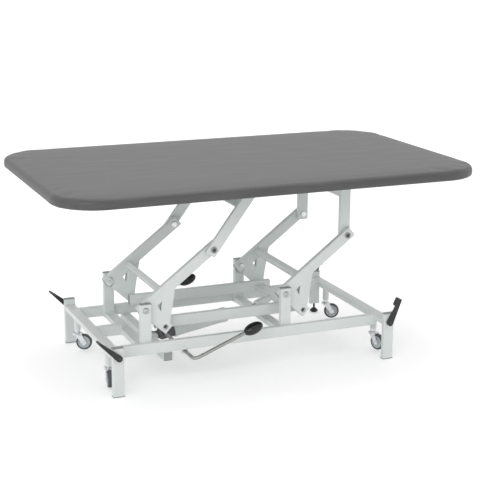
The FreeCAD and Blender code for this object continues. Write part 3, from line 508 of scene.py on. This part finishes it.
# Board. Film-faced plywood, 12 mm. The dark film shows the grain of the face ply that lies along
# the table.
plywood, plywood_shader = new_finish("film_faced_plywood", (0.085, 0.08, 0.075), 0.5)
figure = pattern(plywood, 0.012, stretch=(0.05, 1, 0.4), detail=6)
connect(plywood, tones(plywood, figure, ((0.3, (0.070, 0.066, 0.062)), (0.55, (0.085, 0.081, 0.077)),
                                         (0.8, (0.105, 0.101, 0.097)))), plywood_shader, "Base Color")
connect(plywood, spread(plywood, figure, 0.5, 0.7), plywood_shader, "Roughness")
relief(plywood, plywood_shader, ((figure, 0.0002),))
wear("board", plywood)


# Castor wheels. A grey rubber tyre with a shallow crown, moulded on a light nylon hub. The hub has a
# thin web and a boss that turns on the axle.
def turned(name, points, origin, axis, steps=48, closed=False, finish=None):
    """Turns an outline of (along, out) points about an axis through the origin given."""
    along = Vector(axis).normalized()
    side = along.orthogonal().normalized()
    up = along.cross(side)
    made = bmesh.new()
    circles = []
    for reach, out in points:
        centre = Vector(origin) + along * reach
        if out < 1e-7:
            circles.append([made.verts.new(centre)] * steps)
        else:
            turns = [2 * math.pi * number / steps for number in range(steps)]
            circles.append([made.verts.new(centre + (side * math.cos(turn) + up * math.sin(turn)) * out)
                            for turn in turns])
    pairs = list(zip(circles, circles[1:]))
    if closed:
        pairs.append((circles[-1], circles[0]))
    for low, high in pairs:
        for k in range(steps):
            after = (k + 1) % steps
            corners = []
            for vert in (low[k], low[after], high[after], high[k]):
                if vert not in corners:
                    corners.append(vert)
            if len(corners) > 2:
                made.faces.new(corners)
    bmesh.ops.recalc_face_normals(made, faces=made.faces)
    return finished(name, made, finish)


def finished(name, made, finish, sharp=35):
    """Makes an object of a bmesh, smooth but for its sharp edges."""
    mesh = bpy.data.meshes.new(name)
    made.to_mesh(mesh)
    made.free()
    mesh.shade_smooth()
    mesh.set_sharp_from_angle(angle=math.radians(sharp))
    if finish is not None:
        mesh.materials.append(finish)
    piece = bpy.data.objects.new(name, mesh)
    bpy.context.scene.collection.objects.link(piece)
    return piece


def mirrored(points):
    """Adds the outline's other half, on the far side of its middle."""
    return points + [(-along, out) for along, out in reversed(points) if along != 0]


def mottled(name, colour, roughness, size, dark, light, gloss, bump, metallic=0.0, light_at=0.7):
    """Makes a finish that is a little uneven in tone and gloss. A bump is its size and its height."""
    finish, shader = new_finish(name, colour, roughness, metallic)
    mark = pattern(finish, size)
    connect(finish, tones(finish, mark, ((0.3, dark), (light_at, light))), shader, "Base Color")
    connect(finish, spread(finish, mark, *gloss), shader, "Roughness")
    bump_size, height = bump
    relief(finish, shader, ((mark if bump_size == size else pattern(finish, bump_size), height),))
    return finish


rubber = mottled("tyre_rubber", (0.085, 0.09, 0.095), 0.62, 0.006, (0.070, 0.074, 0.078),
                 (0.115, 0.12, 0.125), (0.5, 0.75), (0.0012, 0.00008), light_at=0.75)
nylon = mottled("hub_nylon", (0.62, 0.65, 0.66), 0.45, 0.004, (0.56, 0.59, 0.60),
                (0.66, 0.69, 0.70), (0.38, 0.52), (0.004, 0.00005))
zinc = mottled("bright_zinc", (0.74, 0.76, 0.78), 0.3, 0.008, (0.66, 0.69, 0.72),
               (0.80, 0.81, 0.81), (0.24, 0.40), (0.0015, 0.00003), metallic=1.0)

wheel_radius, tyre_inner, axle_radius = 0.0375, 0.0285, 0.00405
tyre_outline = mirrored([(0.0085, tyre_inner), (0.0104, tyre_inner + 0.0006), (0.0115, 0.0315),
                         (0.0112, 0.0338), (0.0098, 0.0358), (0.0072, 0.0369), (0.0035, 0.03735),
                         (0, wheel_radius)])
hub_outline = mirrored([(0.0106, axle_radius), (0.0118, axle_radius + 0.0006), (0.0118, 0.0078),
                        (0.0106, 0.0090), (0.0062, 0.0098), (0.0048, 0.0112), (0.0044, 0.0225),
                        (0.0058, 0.0240), (0.0100, 0.0248), (0.0108, 0.0256), (0.0108, 0.0276),
                        (0.0100, 0.0284), (0.0086, 0.0284)])
wheel_spot = {}
for corner in CORNERS:
    wheel_low, wheel_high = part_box("wheel_" + corner)
    centre = (wheel_low + wheel_high) / 2
    axle = Vector(joints["roll_" + corner]["axis"])
    wheel_spot[corner] = (centre, axle)
    tyre = turned("tyre_" + corner, tyre_outline, centre, axle, 72, closed=True, finish=rubber)
    hub = turned("hub_" + corner, hub_outline, centre, axle, 56, closed=True, finish=nylon)
    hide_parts("wheel_" + corner)
    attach(tyre, "wheel_" + corner)
    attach(hub, "wheel_" + corner)


# Vinyl hem. The cover's edge is turned in over the board and stapled to it, all the way round, and it
# gathers a little between the staples.
staple_tree, asked = new_tree("set_staples", [("Spacing", "Float"), ("Size", "Float"), ("Seed", "Int"),
                                              ("Finish", "Material")])
hem_curve = staple_tree.nodes.new("GeometryNodeMeshToCurve")
staple_spots = staple_tree.nodes.new("GeometryNodeResampleCurve")
staple_spots.mode = "LENGTH"
staple = staple_tree.nodes.new("GeometryNodeMeshCube")
staple.inputs["Size"].default_value = (0.0115, 0.0012, 0.0009)
staple_way = staple_tree.nodes.new("GeometryNodeInputTangent")
staple_turn = staple_tree.nodes.new("FunctionNodeAlignRotationToVector")
staple_turn.axis = "X"
askew = staple_tree.nodes.new("FunctionNodeRandomValue")
askew.inputs["Min"].default_value, askew.inputs["Max"].default_value = -0.35, 0.35
askew_turn = staple_tree.nodes.new("FunctionNodeAxisAngleToRotation")
askew_turn.inputs["Axis"].default_value = (0, 0, 1)
askew_both = staple_tree.nodes.new("FunctionNodeRotateRotation")
askew_both.rotation_space = "LOCAL"
staples = staple_tree.nodes.new("GeometryNodeInstanceOnPoints")
join = staple_tree.links.new
join(asked["Geometry"], hem_curve.inputs["Mesh"])
join(hem_curve.outputs["Curve"], staple_spots.inputs["Curve"])
join(asked["Spacing"], staple_spots.inputs["Length"])
join(staple_way.outputs["Tangent"], staple_turn.inputs["Vector"])
join(asked["Seed"], askew.inputs["Seed"])
join([socket for socket in askew.outputs if socket.enabled][0], askew_turn.inputs["Angle"])
join(staple_turn.outputs["Rotation"], askew_both.inputs["Rotation"])
join(askew_turn.outputs["Rotation"], askew_both.inputs["Rotate By"])
join(staple_spots.outputs["Curve"], staples.inputs["Points"])
join(staple.outputs["Mesh"], staples.inputs["Instance"])
join(askew_both.outputs["Rotation"], staples.inputs["Rotation"])
join(asked["Size"], staples.inputs["Scale"])
close_tree(staple_tree, asked, staples.outputs["Instances"])

hem_steps = ((board_inset - 0.0045, 0.0001), (board_inset - 0.0040, -0.0011),
             (board_inset + 0.004, -0.0014), (board_inset + 0.020, -0.0013),
             (board_inset + 0.026, -0.0009), (board_inset + 0.0265, 0.0001))
staple_inset, staple_drop, gathered_from = board_inset + 0.013, 0.0016, board_inset + 0.01
made = bmesh.new()
hem_rows = []
for inset, drop in hem_steps:
    row = []
    for number, spot in enumerate(outline(inset)):
        gather = 0.0006 * math.sin(number * 1.9) + 0.0005 * math.sin(number * 0.7)
        inward = -spot.normalized() * gather if inset > gathered_from else Vector((0, 0))
        row.append(made.verts.new((spot.x + inward.x, spot.y + inward.y, frame_top + drop)))
    hem_rows.append(row)
for outer_row, inner_row in zip(hem_rows, hem_rows[1:]):
    for k in range(len(outer_row)):
        after = (k + 1) % len(outer_row)
        made.faces.new((outer_row[k], outer_row[after], inner_row[after], inner_row[k]))
bmesh.ops.recalc_face_normals(made, faces=made.faces)
hem_piece = finished("mat_hem", made, vinyl)
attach(hem_piece, "top")
walk = outline(staple_inset)
walk_line = bpy.data.meshes.new("staple_line")
walk_line.from_pydata([(spot.x, spot.y, frame_top - staple_drop) for spot in walk],
                      [(k, (k + 1) % len(walk)) for k in range(len(walk))], [])
grown("hem_staples", walk_line, staple_tree, {"Spacing": 0.042, "Size": 1.0, "Seed": 5,
                                              "Finish": zinc}, "top")


# Castor forks. Pressed steel, bright zinc plated, under a ball race that is closed by a turned ring.
# The axle bolt that holds the wheel is with the fasteners.
fork_half = 0.0165
for corner in CORNERS:
    wear("fork_" + corner, zinc)
    pin = Vector(joints["swivel_" + corner]["pos_m"])
    race = turned("race_" + corner, [(0.0795, 0.0100), (0.0795, 0.0190), (0.0815, 0.0222),
                                     (0.0850, 0.0222), (0.0868, 0.0200), (0.0868, 0.0182),
                                     (0.0880, 0.0182), (0.0880, 0.0200), (0.0896, 0.0216),
                                     (0.0912, 0.0200), (0.0922, 0.0150), (0.0922, 0.0100)],
                  (pin.x, pin.y, 0), (0, 0, 1), 56, closed=True, finish=zinc)
    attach(race, "fork_" + corner)


# Fasteners. Zinc-plated domed bolts on the posts, steel sleeves with a bolt sunk in them on the arms
# and links, hexagon nuts inside, axle bolts on the castors and pan-head screws into the board. The sunk
# bolts and the pin ends at the bottom of the crank pins' recesses are near black, which paints the
# shade in those holes.
set_tree, asked = new_tree("set_fasteners", [("Pattern", "Object"), ("Size", "Float"), ("Seed", "Int"),
                                             ("Finish", "Material")])
model = set_tree.nodes.new("GeometryNodeObjectInfo")
way = set_tree.nodes.new("GeometryNodeInputNamedAttribute")
way.data_type = "FLOAT_VECTOR"
way.inputs["Name"].default_value = "facing"
aim = set_tree.nodes.new("FunctionNodeAlignRotationToVector")
aim.axis = "Z"
spin = set_tree.nodes.new("FunctionNodeRandomValue")
spin.inputs["Min"].default_value, spin.inputs["Max"].default_value = 0.0, 2 * math.pi
twist = set_tree.nodes.new("FunctionNodeAxisAngleToRotation")
twist.inputs["Axis"].default_value = (0, 0, 1)
both = set_tree.nodes.new("FunctionNodeRotateRotation")
both.rotation_space = "LOCAL"
put = set_tree.nodes.new("GeometryNodeInstanceOnPoints")
join = set_tree.links.new
join(asked["Pattern"], model.inputs["Object"])
join([socket for socket in way.outputs if socket.enabled][0], aim.inputs["Vector"])
join(asked["Seed"], spin.inputs["Seed"])
join([socket for socket in spin.outputs if socket.enabled][0], twist.inputs["Angle"])
join(aim.outputs["Rotation"], both.inputs["Rotation"])
join(twist.outputs["Rotation"], both.inputs["Rotate By"])
join(asked["Geometry"], put.inputs["Points"])
join(model.outputs["Geometry"], put.inputs["Instance"])
join(both.outputs["Rotation"], put.inputs["Rotation"])
join(asked["Size"], put.inputs["Scale"])
close_tree(set_tree, asked, put.outputs["Instances"])


def set_out(name, outline, spots, body, finish, size=1.0, corners=32):
    """Turns one fastener from (along, out) points and sets it on every (place, facing) spot."""
    model_piece = turned("model_" + name, outline, (0, 0, 0), (0, 0, 1), corners, closed=True)
    points = bpy.data.meshes.new(name)
    points.from_pydata([place for place, facing in spots], [], [])
    way_out = points.attributes.new("facing", "FLOAT_VECTOR", "POINT")
    for number, (place, facing) in enumerate(spots):
        way_out.data[number].vector = facing
    piece = grown(name, points, set_tree, {"Pattern": model_piece, "Size": size, "Seed": 11,
                                           "Finish": finish}, body)
    bpy.data.objects.remove(model_piece)
    piece.data.set_sharp_from_angle(angle=math.radians(35))
    return piece


DOME = [(-0.0002, 0.0003), (-0.0002, 0.0138), (0.0009, 0.0143), (0.0020, 0.0138), (0.0030, 0.0133),
        (0.0052, 0.0126), (0.0066, 0.0108), (0.0073, 0.0082), (0.0075, 0.0052), (0.0071, 0.0046),
        (0.0046, 0.0043), (0.0044, 0.0003)]
SLEEVE = [(0.0000, 0.0131), (0.0000, 0.0146), (0.0036, 0.0146), (0.0043, 0.0139), (0.0046, 0.0127),
          (0.0045, 0.0104), (0.0043, 0.0098), (0.0041, 0.0090), (0.0039, 0.0090), (0.0039, 0.0131)]
SUNK = [(0.0038, 0.0003), (0.0038, 0.0094), (0.0041, 0.0094), (0.0041, 0.0062), (0.0043, 0.0060),
        (0.0046, 0.0050), (0.0046, 0.0028), (0.0042, 0.0025), (0.0042, 0.0003)]
NUT = [(0.0001, 0.0003), (0.0001, 0.0151), (0.0052, 0.0151), (0.0064, 0.0136), (0.0064, 0.0078),
       (0.0066, 0.0076), (0.0076, 0.0070), (0.0078, 0.0003)]
RING = [(-0.0004, 0.0083), (-0.0004, 0.0118), (0.0002, 0.0118), (0.0003, 0.0114), (0.0003, 0.0090),
        (0.0001, 0.0084)]
PIN_END = [(-0.0010, 0.0003), (-0.0010, 0.0078), (0.0006, 0.0078), (0.0012, 0.0066), (0.0012, 0.0034),
           (0.0004, 0.0030), (0.0003, 0.0003)]
HEX = [(-0.0002, 0.0003), (-0.0002, 0.0066), (0.0026, 0.0066), (0.0034, 0.0058), (0.0036, 0.0003)]
PAN = [(-0.0002, 0.0003), (-0.0002, 0.0062), (0.0008, 0.0062), (0.0020, 0.0052), (0.0027, 0.0030),
       (0.0027, 0.0016), (0.0016, 0.0013), (0.0015, 0.0003)]
dull_steel = mottled("dull_steel", (0.34, 0.35, 0.34), 0.45, 0.004, (0.26, 0.27, 0.265),
                     (0.42, 0.43, 0.42), (0.36, 0.55), (0.004, 0.00004), metallic=0.9)
worn_zinc = mottled("worn_zinc", (0.50, 0.52, 0.53), 0.38, 0.003, (0.42, 0.44, 0.45),
                    (0.58, 0.60, 0.60), (0.32, 0.5), (0.003, 0.00004), metallic=0.9)
# Near-black steel. On the lever hub screws it is the steel's own colour. On the sunk bolts and the crank
# pin ends it is painted shade inside their holes.
dark_steel_and_hole_shade = mottled("dark_steel_and_painted_hole_shade", (0.07, 0.072, 0.07), 0.4, 0.003, (0.05, 0.052, 0.05),
                     (0.10, 0.10, 0.098), (0.3, 0.5), (0.003, 0.00004), metallic=0.6)


def on_sides(joint, y, inward=False):
    """Gives a pin's two spots, near and far, that face out of the table or into it."""
    return [((joint[0], across * y, joint[1]), (0, -across if inward else across, 0))
            for side, across in SIDES]


nut_face, pin_end_y, top_rail_y, sync_y = arm_inner - 0.0007, 0.253, 0.2465, 0.1835
set_out("post_bolts", DOME, [spot for end, along in ENDS for spot in on_sides(pivot[end], post_outer)],
        "base", worn_zinc)
set_out("post_nuts", NUT, [spot for end, along in ENDS
                           for spot in on_sides(pivot[end], nut_face, inward=True)],
        "base", zinc, corners=6)
for name, joint, outer, inner in (("arm", head["right"], cross_end, upright_inner - 0.0001),
                                  ("link", head["left"], link_outer, nut_face)):
    set_out(name + "_sleeves", SLEEVE, on_sides(joint, outer), "top", dull_steel)
    # The sunk bolt heads are real parts, but their near-black paints the shade inside the sleeves'
    # holes.
    set_out(name + "_sunk_bolts", SUNK, on_sides(joint, outer), "top", dark_steel_and_hole_shade)
    set_out(name + "_nuts", NUT, on_sides(joint, inner, inward=True), "top", zinc, corners=6)
for end, along in ENDS:
    set_out("crank_rings_" + end, RING, on_sides(crank[end], arm_outer), "arms_" + end, dull_steel)
# The crank pin ends sit at the bottom of the pin recesses, and their near-black paints the recesses'
# shade.
set_out("crank_pins", PIN_END, [spot for end, along in ENDS for spot in on_sides(crank[end], pin_end_y)],
        "sync", dark_steel_and_hole_shade)
first_screw, screw_step, screw_count, upright_clear = -0.56, 0.16, 8, 0.04
screw_steps = [first_screw + screw_step * number for number in range(screw_count)]
set_out("board_screws", PAN, [((x, across * top_rail_y, frame_top - 2 * half_wide), (0, 0, -1))
                              for side, across in SIDES for x in screw_steps
                              if abs(x - head["right"][0]) > upright_clear], "top", zinc, corners=20)
cross_bolt_y, cross_bolt_back = 0.215, 0.010
set_out("cross_bolts", HEX, [((pivot["left"][0] - cross_bolt_back, across * cross_bolt_y,
                               rail_low + 2 * half_thin), (0, 0, 1))
                             for side, across in SIDES], "base", zinc, corners=6)
for corner in CORNERS:
    centre, axle = wheel_spot[corner]
    set_out("axle_bolt_" + corner, HEX, [(centre + axle * fork_half * way_out, axle * way_out)
                                         for way_out in (-1, 1)], "fork_" + corner, zinc, corners=6)


# Levers. Glass-filled nylon mouldings in black, tapered from a round hub to a thin tip, with a tread
# for the foot. A screw holds each hub on the shaft that joins the two levers of an end.
black, black_shader = new_finish("black_moulding", (0.016, 0.017, 0.018), 0.34)
speck = pattern(black, 0.0012)
connect(black, tones(black, pattern(black, 0.03), ((0.3, (0.013, 0.014, 0.015)),
                                                   (0.7, (0.022, 0.023, 0.024)))),
        black_shader, "Base Color")
connect(black, spread(black, speck, 0.28, 0.42), black_shader, "Roughness")
relief(black, black_shader, ((speck, 0.00008),))
lever_z = (beam_low + beam_high) / 2
for corner in CORNERS:
    wear("lever_" + corner, black)
    lever_low, lever_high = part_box("lever_" + corner)
    end = corner.split("_")[1]
    across = -1 if corner.startswith("near") else 1
    outer_y = lever_high.y if across > 0 else -lever_low.y
    set_out("hub_screw_" + corner, PAN, [((leg_x[end], across * outer_y, lever_z), (0, across, 0))],
            "levers_" + end, dark_steel_and_hole_shade, size=0.9, corners=24)


# Pump pedal. One bent round bar of plain drawn steel, with a glossy black pad moulded on each end.
pedal_steel, pedal_shader = new_finish("pedal_steel", (0.36, 0.375, 0.36), 0.42, metallic=0.85)
scale = pattern(pedal_steel, 0.01)
connect(pedal_steel, tones(pedal_steel, scale, ((0.3, (0.30, 0.315, 0.30)), (0.7, (0.42, 0.435, 0.42)))),
        pedal_shader, "Base Color")
connect(pedal_steel, spread(pedal_steel, scale, 0.34, 0.52), pedal_shader, "Roughness")
relief(pedal_steel, pedal_shader, ((pattern(pedal_steel, 0.0012, stretch=(1, 1, 4)), 0.00005),))
wear("pedal_bar", pedal_steel)
gloss = mottled("pedal_gloss", (0.008, 0.008, 0.009), 0.14, 0.012, (0.006, 0.006, 0.007),
                (0.011, 0.011, 0.012), (0.10, 0.20), (0.003, 0.00002))
for side, across in SIDES:
    wear("pedal_pad_" + side, gloss)


# Hydraulic ram. A cast end with its eye, a cylinder in the frame's coat with a band at its foot, and a
# chromed rod that runs out through a rubber wiper ring.
casting = mottled("casting_paint", (0.10, 0.105, 0.11), 0.5, 0.003, (0.08, 0.084, 0.09),
                  (0.13, 0.135, 0.14), (0.42, 0.6), (0.003, 0.0003))
wear("ram_casting", casting)
wear("ram_cylinder", paint)
chrome = mottled("hard_chrome", (0.80, 0.81, 0.82), 0.10, 0.004, (0.76, 0.77, 0.78),
                 (0.83, 0.84, 0.85), (0.08, 0.16), (0.004, 0.000006), metallic=1.0)
wear("ram_rod", chrome)
ram_foot = Vector(joints["ram_swing"]["pos_m"])
ram_way = Vector(joints["ram_stroke"]["axis"])
for label, outline_points, finish in (
        ("band", [(0.0945, 0.0325), (0.0945, 0.0346), (0.0955, 0.0352), (0.1045, 0.0352),
                  (0.1055, 0.0346), (0.1055, 0.0325)], paint),
        ("wiper", [(0.3555, 0.0103), (0.3555, 0.0190), (0.3568, 0.0196), (0.3584, 0.0188),
                   (0.3600, 0.0118), (0.3596, 0.0103)], rubber)):
    piece = turned("ram_" + label, outline_points, ram_foot, ram_way, 56, closed=True, finish=finish)
    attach(piece, "ram")


# Feet and caps. Grey polythene mouldings under the legs and in the tops of legs and posts. The screw
# foot is a black moulding, and the castors' plungers are zinc plated.
grey_cap = mottled("grey_cap", (0.34, 0.36, 0.36), 0.5, 0.005, (0.31, 0.33, 0.33),
                   (0.37, 0.39, 0.39), (0.42, 0.58), (0.005, 0.00006))
wear("foot_caps", grey_cap)
wear("end_plugs", grey_cap)
wear("levelling_foot", black)
for end, along in ENDS:
    wear("plungers_" + end, zinc)


# Tube ends. Grey polythene plugs, pressed into the open ends, each with a thin flange, a rounded
# edge and a shallow dish.
def rounded(wide, thin, corner, steps=5):
    """Walks round a rectangle with round corners."""
    return [(cx * (wide / 2 - corner) + corner * math.cos(math.radians(start + 90 * k / steps)),
             cy * (thin / 2 - corner) + corner * math.sin(math.radians(start + 90 * k / steps)))
            for cx, cy, start in ((1, 1, 0), (-1, 1, 90), (-1, -1, 180), (1, -1, 270))
            for k in range(steps + 1)]


def lofted(name, loops, finish, sharp=35):
    """Skins a row of loops that have the same number of places, and closes both its ends."""
    made = bmesh.new()
    rows = [[made.verts.new(place) for place in loop] for loop in loops]
    for low, high in zip(rows, rows[1:]):
        for k in range(len(low)):
            after = (k + 1) % len(low)
            made.faces.new((low[k], low[after], high[after], high[k]))
    made.faces.new(rows[0])
    made.faces.new(rows[-1])
    bmesh.ops.recalc_face_normals(made, faces=made.faces)
    return finished(name, made, finish, sharp)


PLUG = ((-0.0080, 0.0024), (0.0000, 0.0022), (0.0000, 0.0003), (0.0010, 0.0000), (0.0016, 0.0006),
        (0.0016, 0.0030), (0.0011, 0.0036))
plug_corner, top_rail_thick = 0.004, 0.026


def plug(name, centre, out, wide_way, wide, thin, body):
    """Plugs a tube's end. A step of the plug is a height above the end and an inset."""
    out, wide_way = Vector(out).normalized(), Vector(wide_way).normalized()
    thin_way = out.cross(wide_way)
    loops = [[Vector(centre) + out * height + wide_way * u + thin_way * v
              for u, v in rounded(wide - 2 * inset, thin - 2 * inset, plug_corner)]
             for height, inset in PLUG]
    piece = lofted("plug_" + name, loops, grey_cap)
    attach(piece, body)


for side, across in SIDES:
    plug("pump_beam_" + side, (pump_beam_x, across * rail_outer, pump_beam_z), (0, across, 0), (1, 0, 0),
         pump_beam_size, pump_beam_size, "base")
    for end, along in ENDS:
        rail_end_low, rail_end_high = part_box("top_rail_" + side)
        rail_end = (rail_end_high if along > 0 else rail_end_low).x
        plug("top_rail_%s_%s" % (side, end), (rail_end, across * top_rail_y, frame_top - half_wide),
             (along, 0, 0), (0, 0, 1), 2 * half_wide, top_rail_thick, "top")
        bar_low, bar_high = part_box("sync_bar_" + side)
        bar_end = (bar_high if along > 0 else bar_low).x
        plug("sync_%s_%s" % (side, end), (bar_end, across * sync_y, crank["left"][1]), (along, 0, 0),
             (0, 0, 1), 2 * half_wide, 2 * half_thin, "sync")
        length = math.dist(pivot[end], head[end])
        along_arm = (math.cos(arm_angle), 0, math.sin(arm_angle))
        square_to_arm = (-math.sin(arm_angle), 0, math.cos(arm_angle))
        for label, reach, way_out in (("foot", -arm_over, -1), ("head", length + arm_over, 1)):
            x, z = turned_in((pivot[end], arm_angle), reach, 0)
            plug("arm_%s_%s_%s" % (label, side, end), (x, across * top_rail_y, z),
                 [way_out * part for part in along_arm], square_to_arm, 2 * half_wide, 2 * half_thin,
                 "arms_" + end)


# Studio: a plain pale floor, a white surround, soft lamps and the camera.
floor_mesh = bpy.data.meshes.new("floor")
floor_half, floor_glow, room_light = 60, 0.34, 0.84
floor_mesh.from_pydata([(x * floor_half, y * floor_half, 0)
                        for x, y in ((-1, -1), (1, -1), (1, 1), (-1, 1))],
                       [], [(0, 1, 2, 3)])
floor = bpy.data.objects.new("floor", floor_mesh)
bpy.context.scene.collection.objects.link(floor)
floor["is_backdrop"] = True
floor_finish, floor_shader = new_finish("studio_floor", (0.90, 0.90, 0.90), 0.7)
floor_shader.inputs["Emission Color"].default_value = (1, 1, 1, 1)
rays = floor_finish.node_tree.nodes.new("ShaderNodeLightPath")
shown = floor_finish.node_tree.nodes.new("ShaderNodeMath")
shown.operation = "MAXIMUM"
floor_finish.node_tree.links.new(rays.outputs["Is Camera Ray"], shown.inputs[0])
floor_finish.node_tree.links.new(rays.outputs["Is Glossy Ray"], shown.inputs[1])
glow = floor_finish.node_tree.nodes.new("ShaderNodeMath")
glow.operation = "MULTIPLY"
glow.inputs[1].default_value = floor_glow
floor_finish.node_tree.links.new(shown.outputs[0], glow.inputs[0])
floor_finish.node_tree.links.new(glow.outputs[0], floor_shader.inputs["Emission Strength"])
floor_mesh.materials.append(floor_finish)

world = bpy.data.worlds.new("studio")
bpy.context.scene.world = world
world.use_nodes = True
sky = world.node_tree.nodes["Background"]
sky.inputs["Color"].default_value = (1, 1, 1, 1)
sky.inputs["Strength"].default_value = room_light
bright = world.node_tree.nodes.new("ShaderNodeBackground")
bright.inputs["Color"].default_value = (1, 1, 1, 1)
bright.inputs["Strength"].default_value = 1.0
seen = world.node_tree.nodes.new("ShaderNodeLightPath")
either = world.node_tree.nodes.new("ShaderNodeMath")
either.operation = "MAXIMUM"
blend_sky = world.node_tree.nodes.new("ShaderNodeMixShader")
link = world.node_tree.links.new
link(seen.outputs["Is Camera Ray"], either.inputs[0])
link(seen.outputs["Is Glossy Ray"], either.inputs[1])
link(either.outputs[0], blend_sky.inputs[0])
link(sky.outputs[0], blend_sky.inputs[1])
link(bright.outputs[0], blend_sky.inputs[2])
link(blend_sky.outputs[0], world.node_tree.nodes["World Output"].inputs["Surface"])


def lamp(name, spot, aim, size, power):
    light = bpy.data.lights.new(name, "AREA")
    light.shape = "RECTANGLE"
    light.size, light.size_y = size
    light.energy = power
    made = bpy.data.objects.new(name, light)
    made.location = spot
    made.rotation_mode = "QUATERNION"
    made.rotation_quaternion = (Vector(aim) - Vector(spot)).to_track_quat("-Z", "Y")
    bpy.context.scene.collection.objects.link(made)


lamp("overhead", (0.4, 0.3, 4.2), (0, 0, 0.4), (3.2, 2.2), 36)
lamp("front_left", (-3.6, -3.2, 2.0), (0, 0, 0.4), (2.4, 2.0), 26)
lamp("key", (-2.6, -3.8, 2.9), (0, -0.3, 0.4), (0.6, 0.6), 10)

camera_spot = Vector((-2.1429, -5.1488, 1.9538))
azimuth, elevation, roll = (math.radians(angle) for angle in (22.83, 14.32, 0.29))
forward = Vector((math.sin(azimuth) * math.cos(elevation), math.cos(azimuth) * math.cos(elevation),
                  -math.sin(elevation)))
level = Vector((math.cos(azimuth), -math.sin(azimuth), 0))
upward = level.cross(forward)
right = level * math.cos(roll) + upward * math.sin(roll)
above = upward * math.cos(roll) - level * math.sin(roll)
camera_data = bpy.data.cameras.new("camera")
camera_data.sensor_width = 36
camera_data.lens = 93.47
camera_data.clip_start, camera_data.clip_end = 0.1, 300
camera = bpy.data.objects.new("camera", camera_data)
turn = Matrix((right, above, -forward)).transposed()
camera.matrix_world = Matrix.Translation(camera_spot) @ turn.to_4x4()
bpy.context.scene.collection.objects.link(camera)
bpy.context.scene.camera = camera
bpy.context.scene.view_settings.view_transform = "Standard"

low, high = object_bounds()
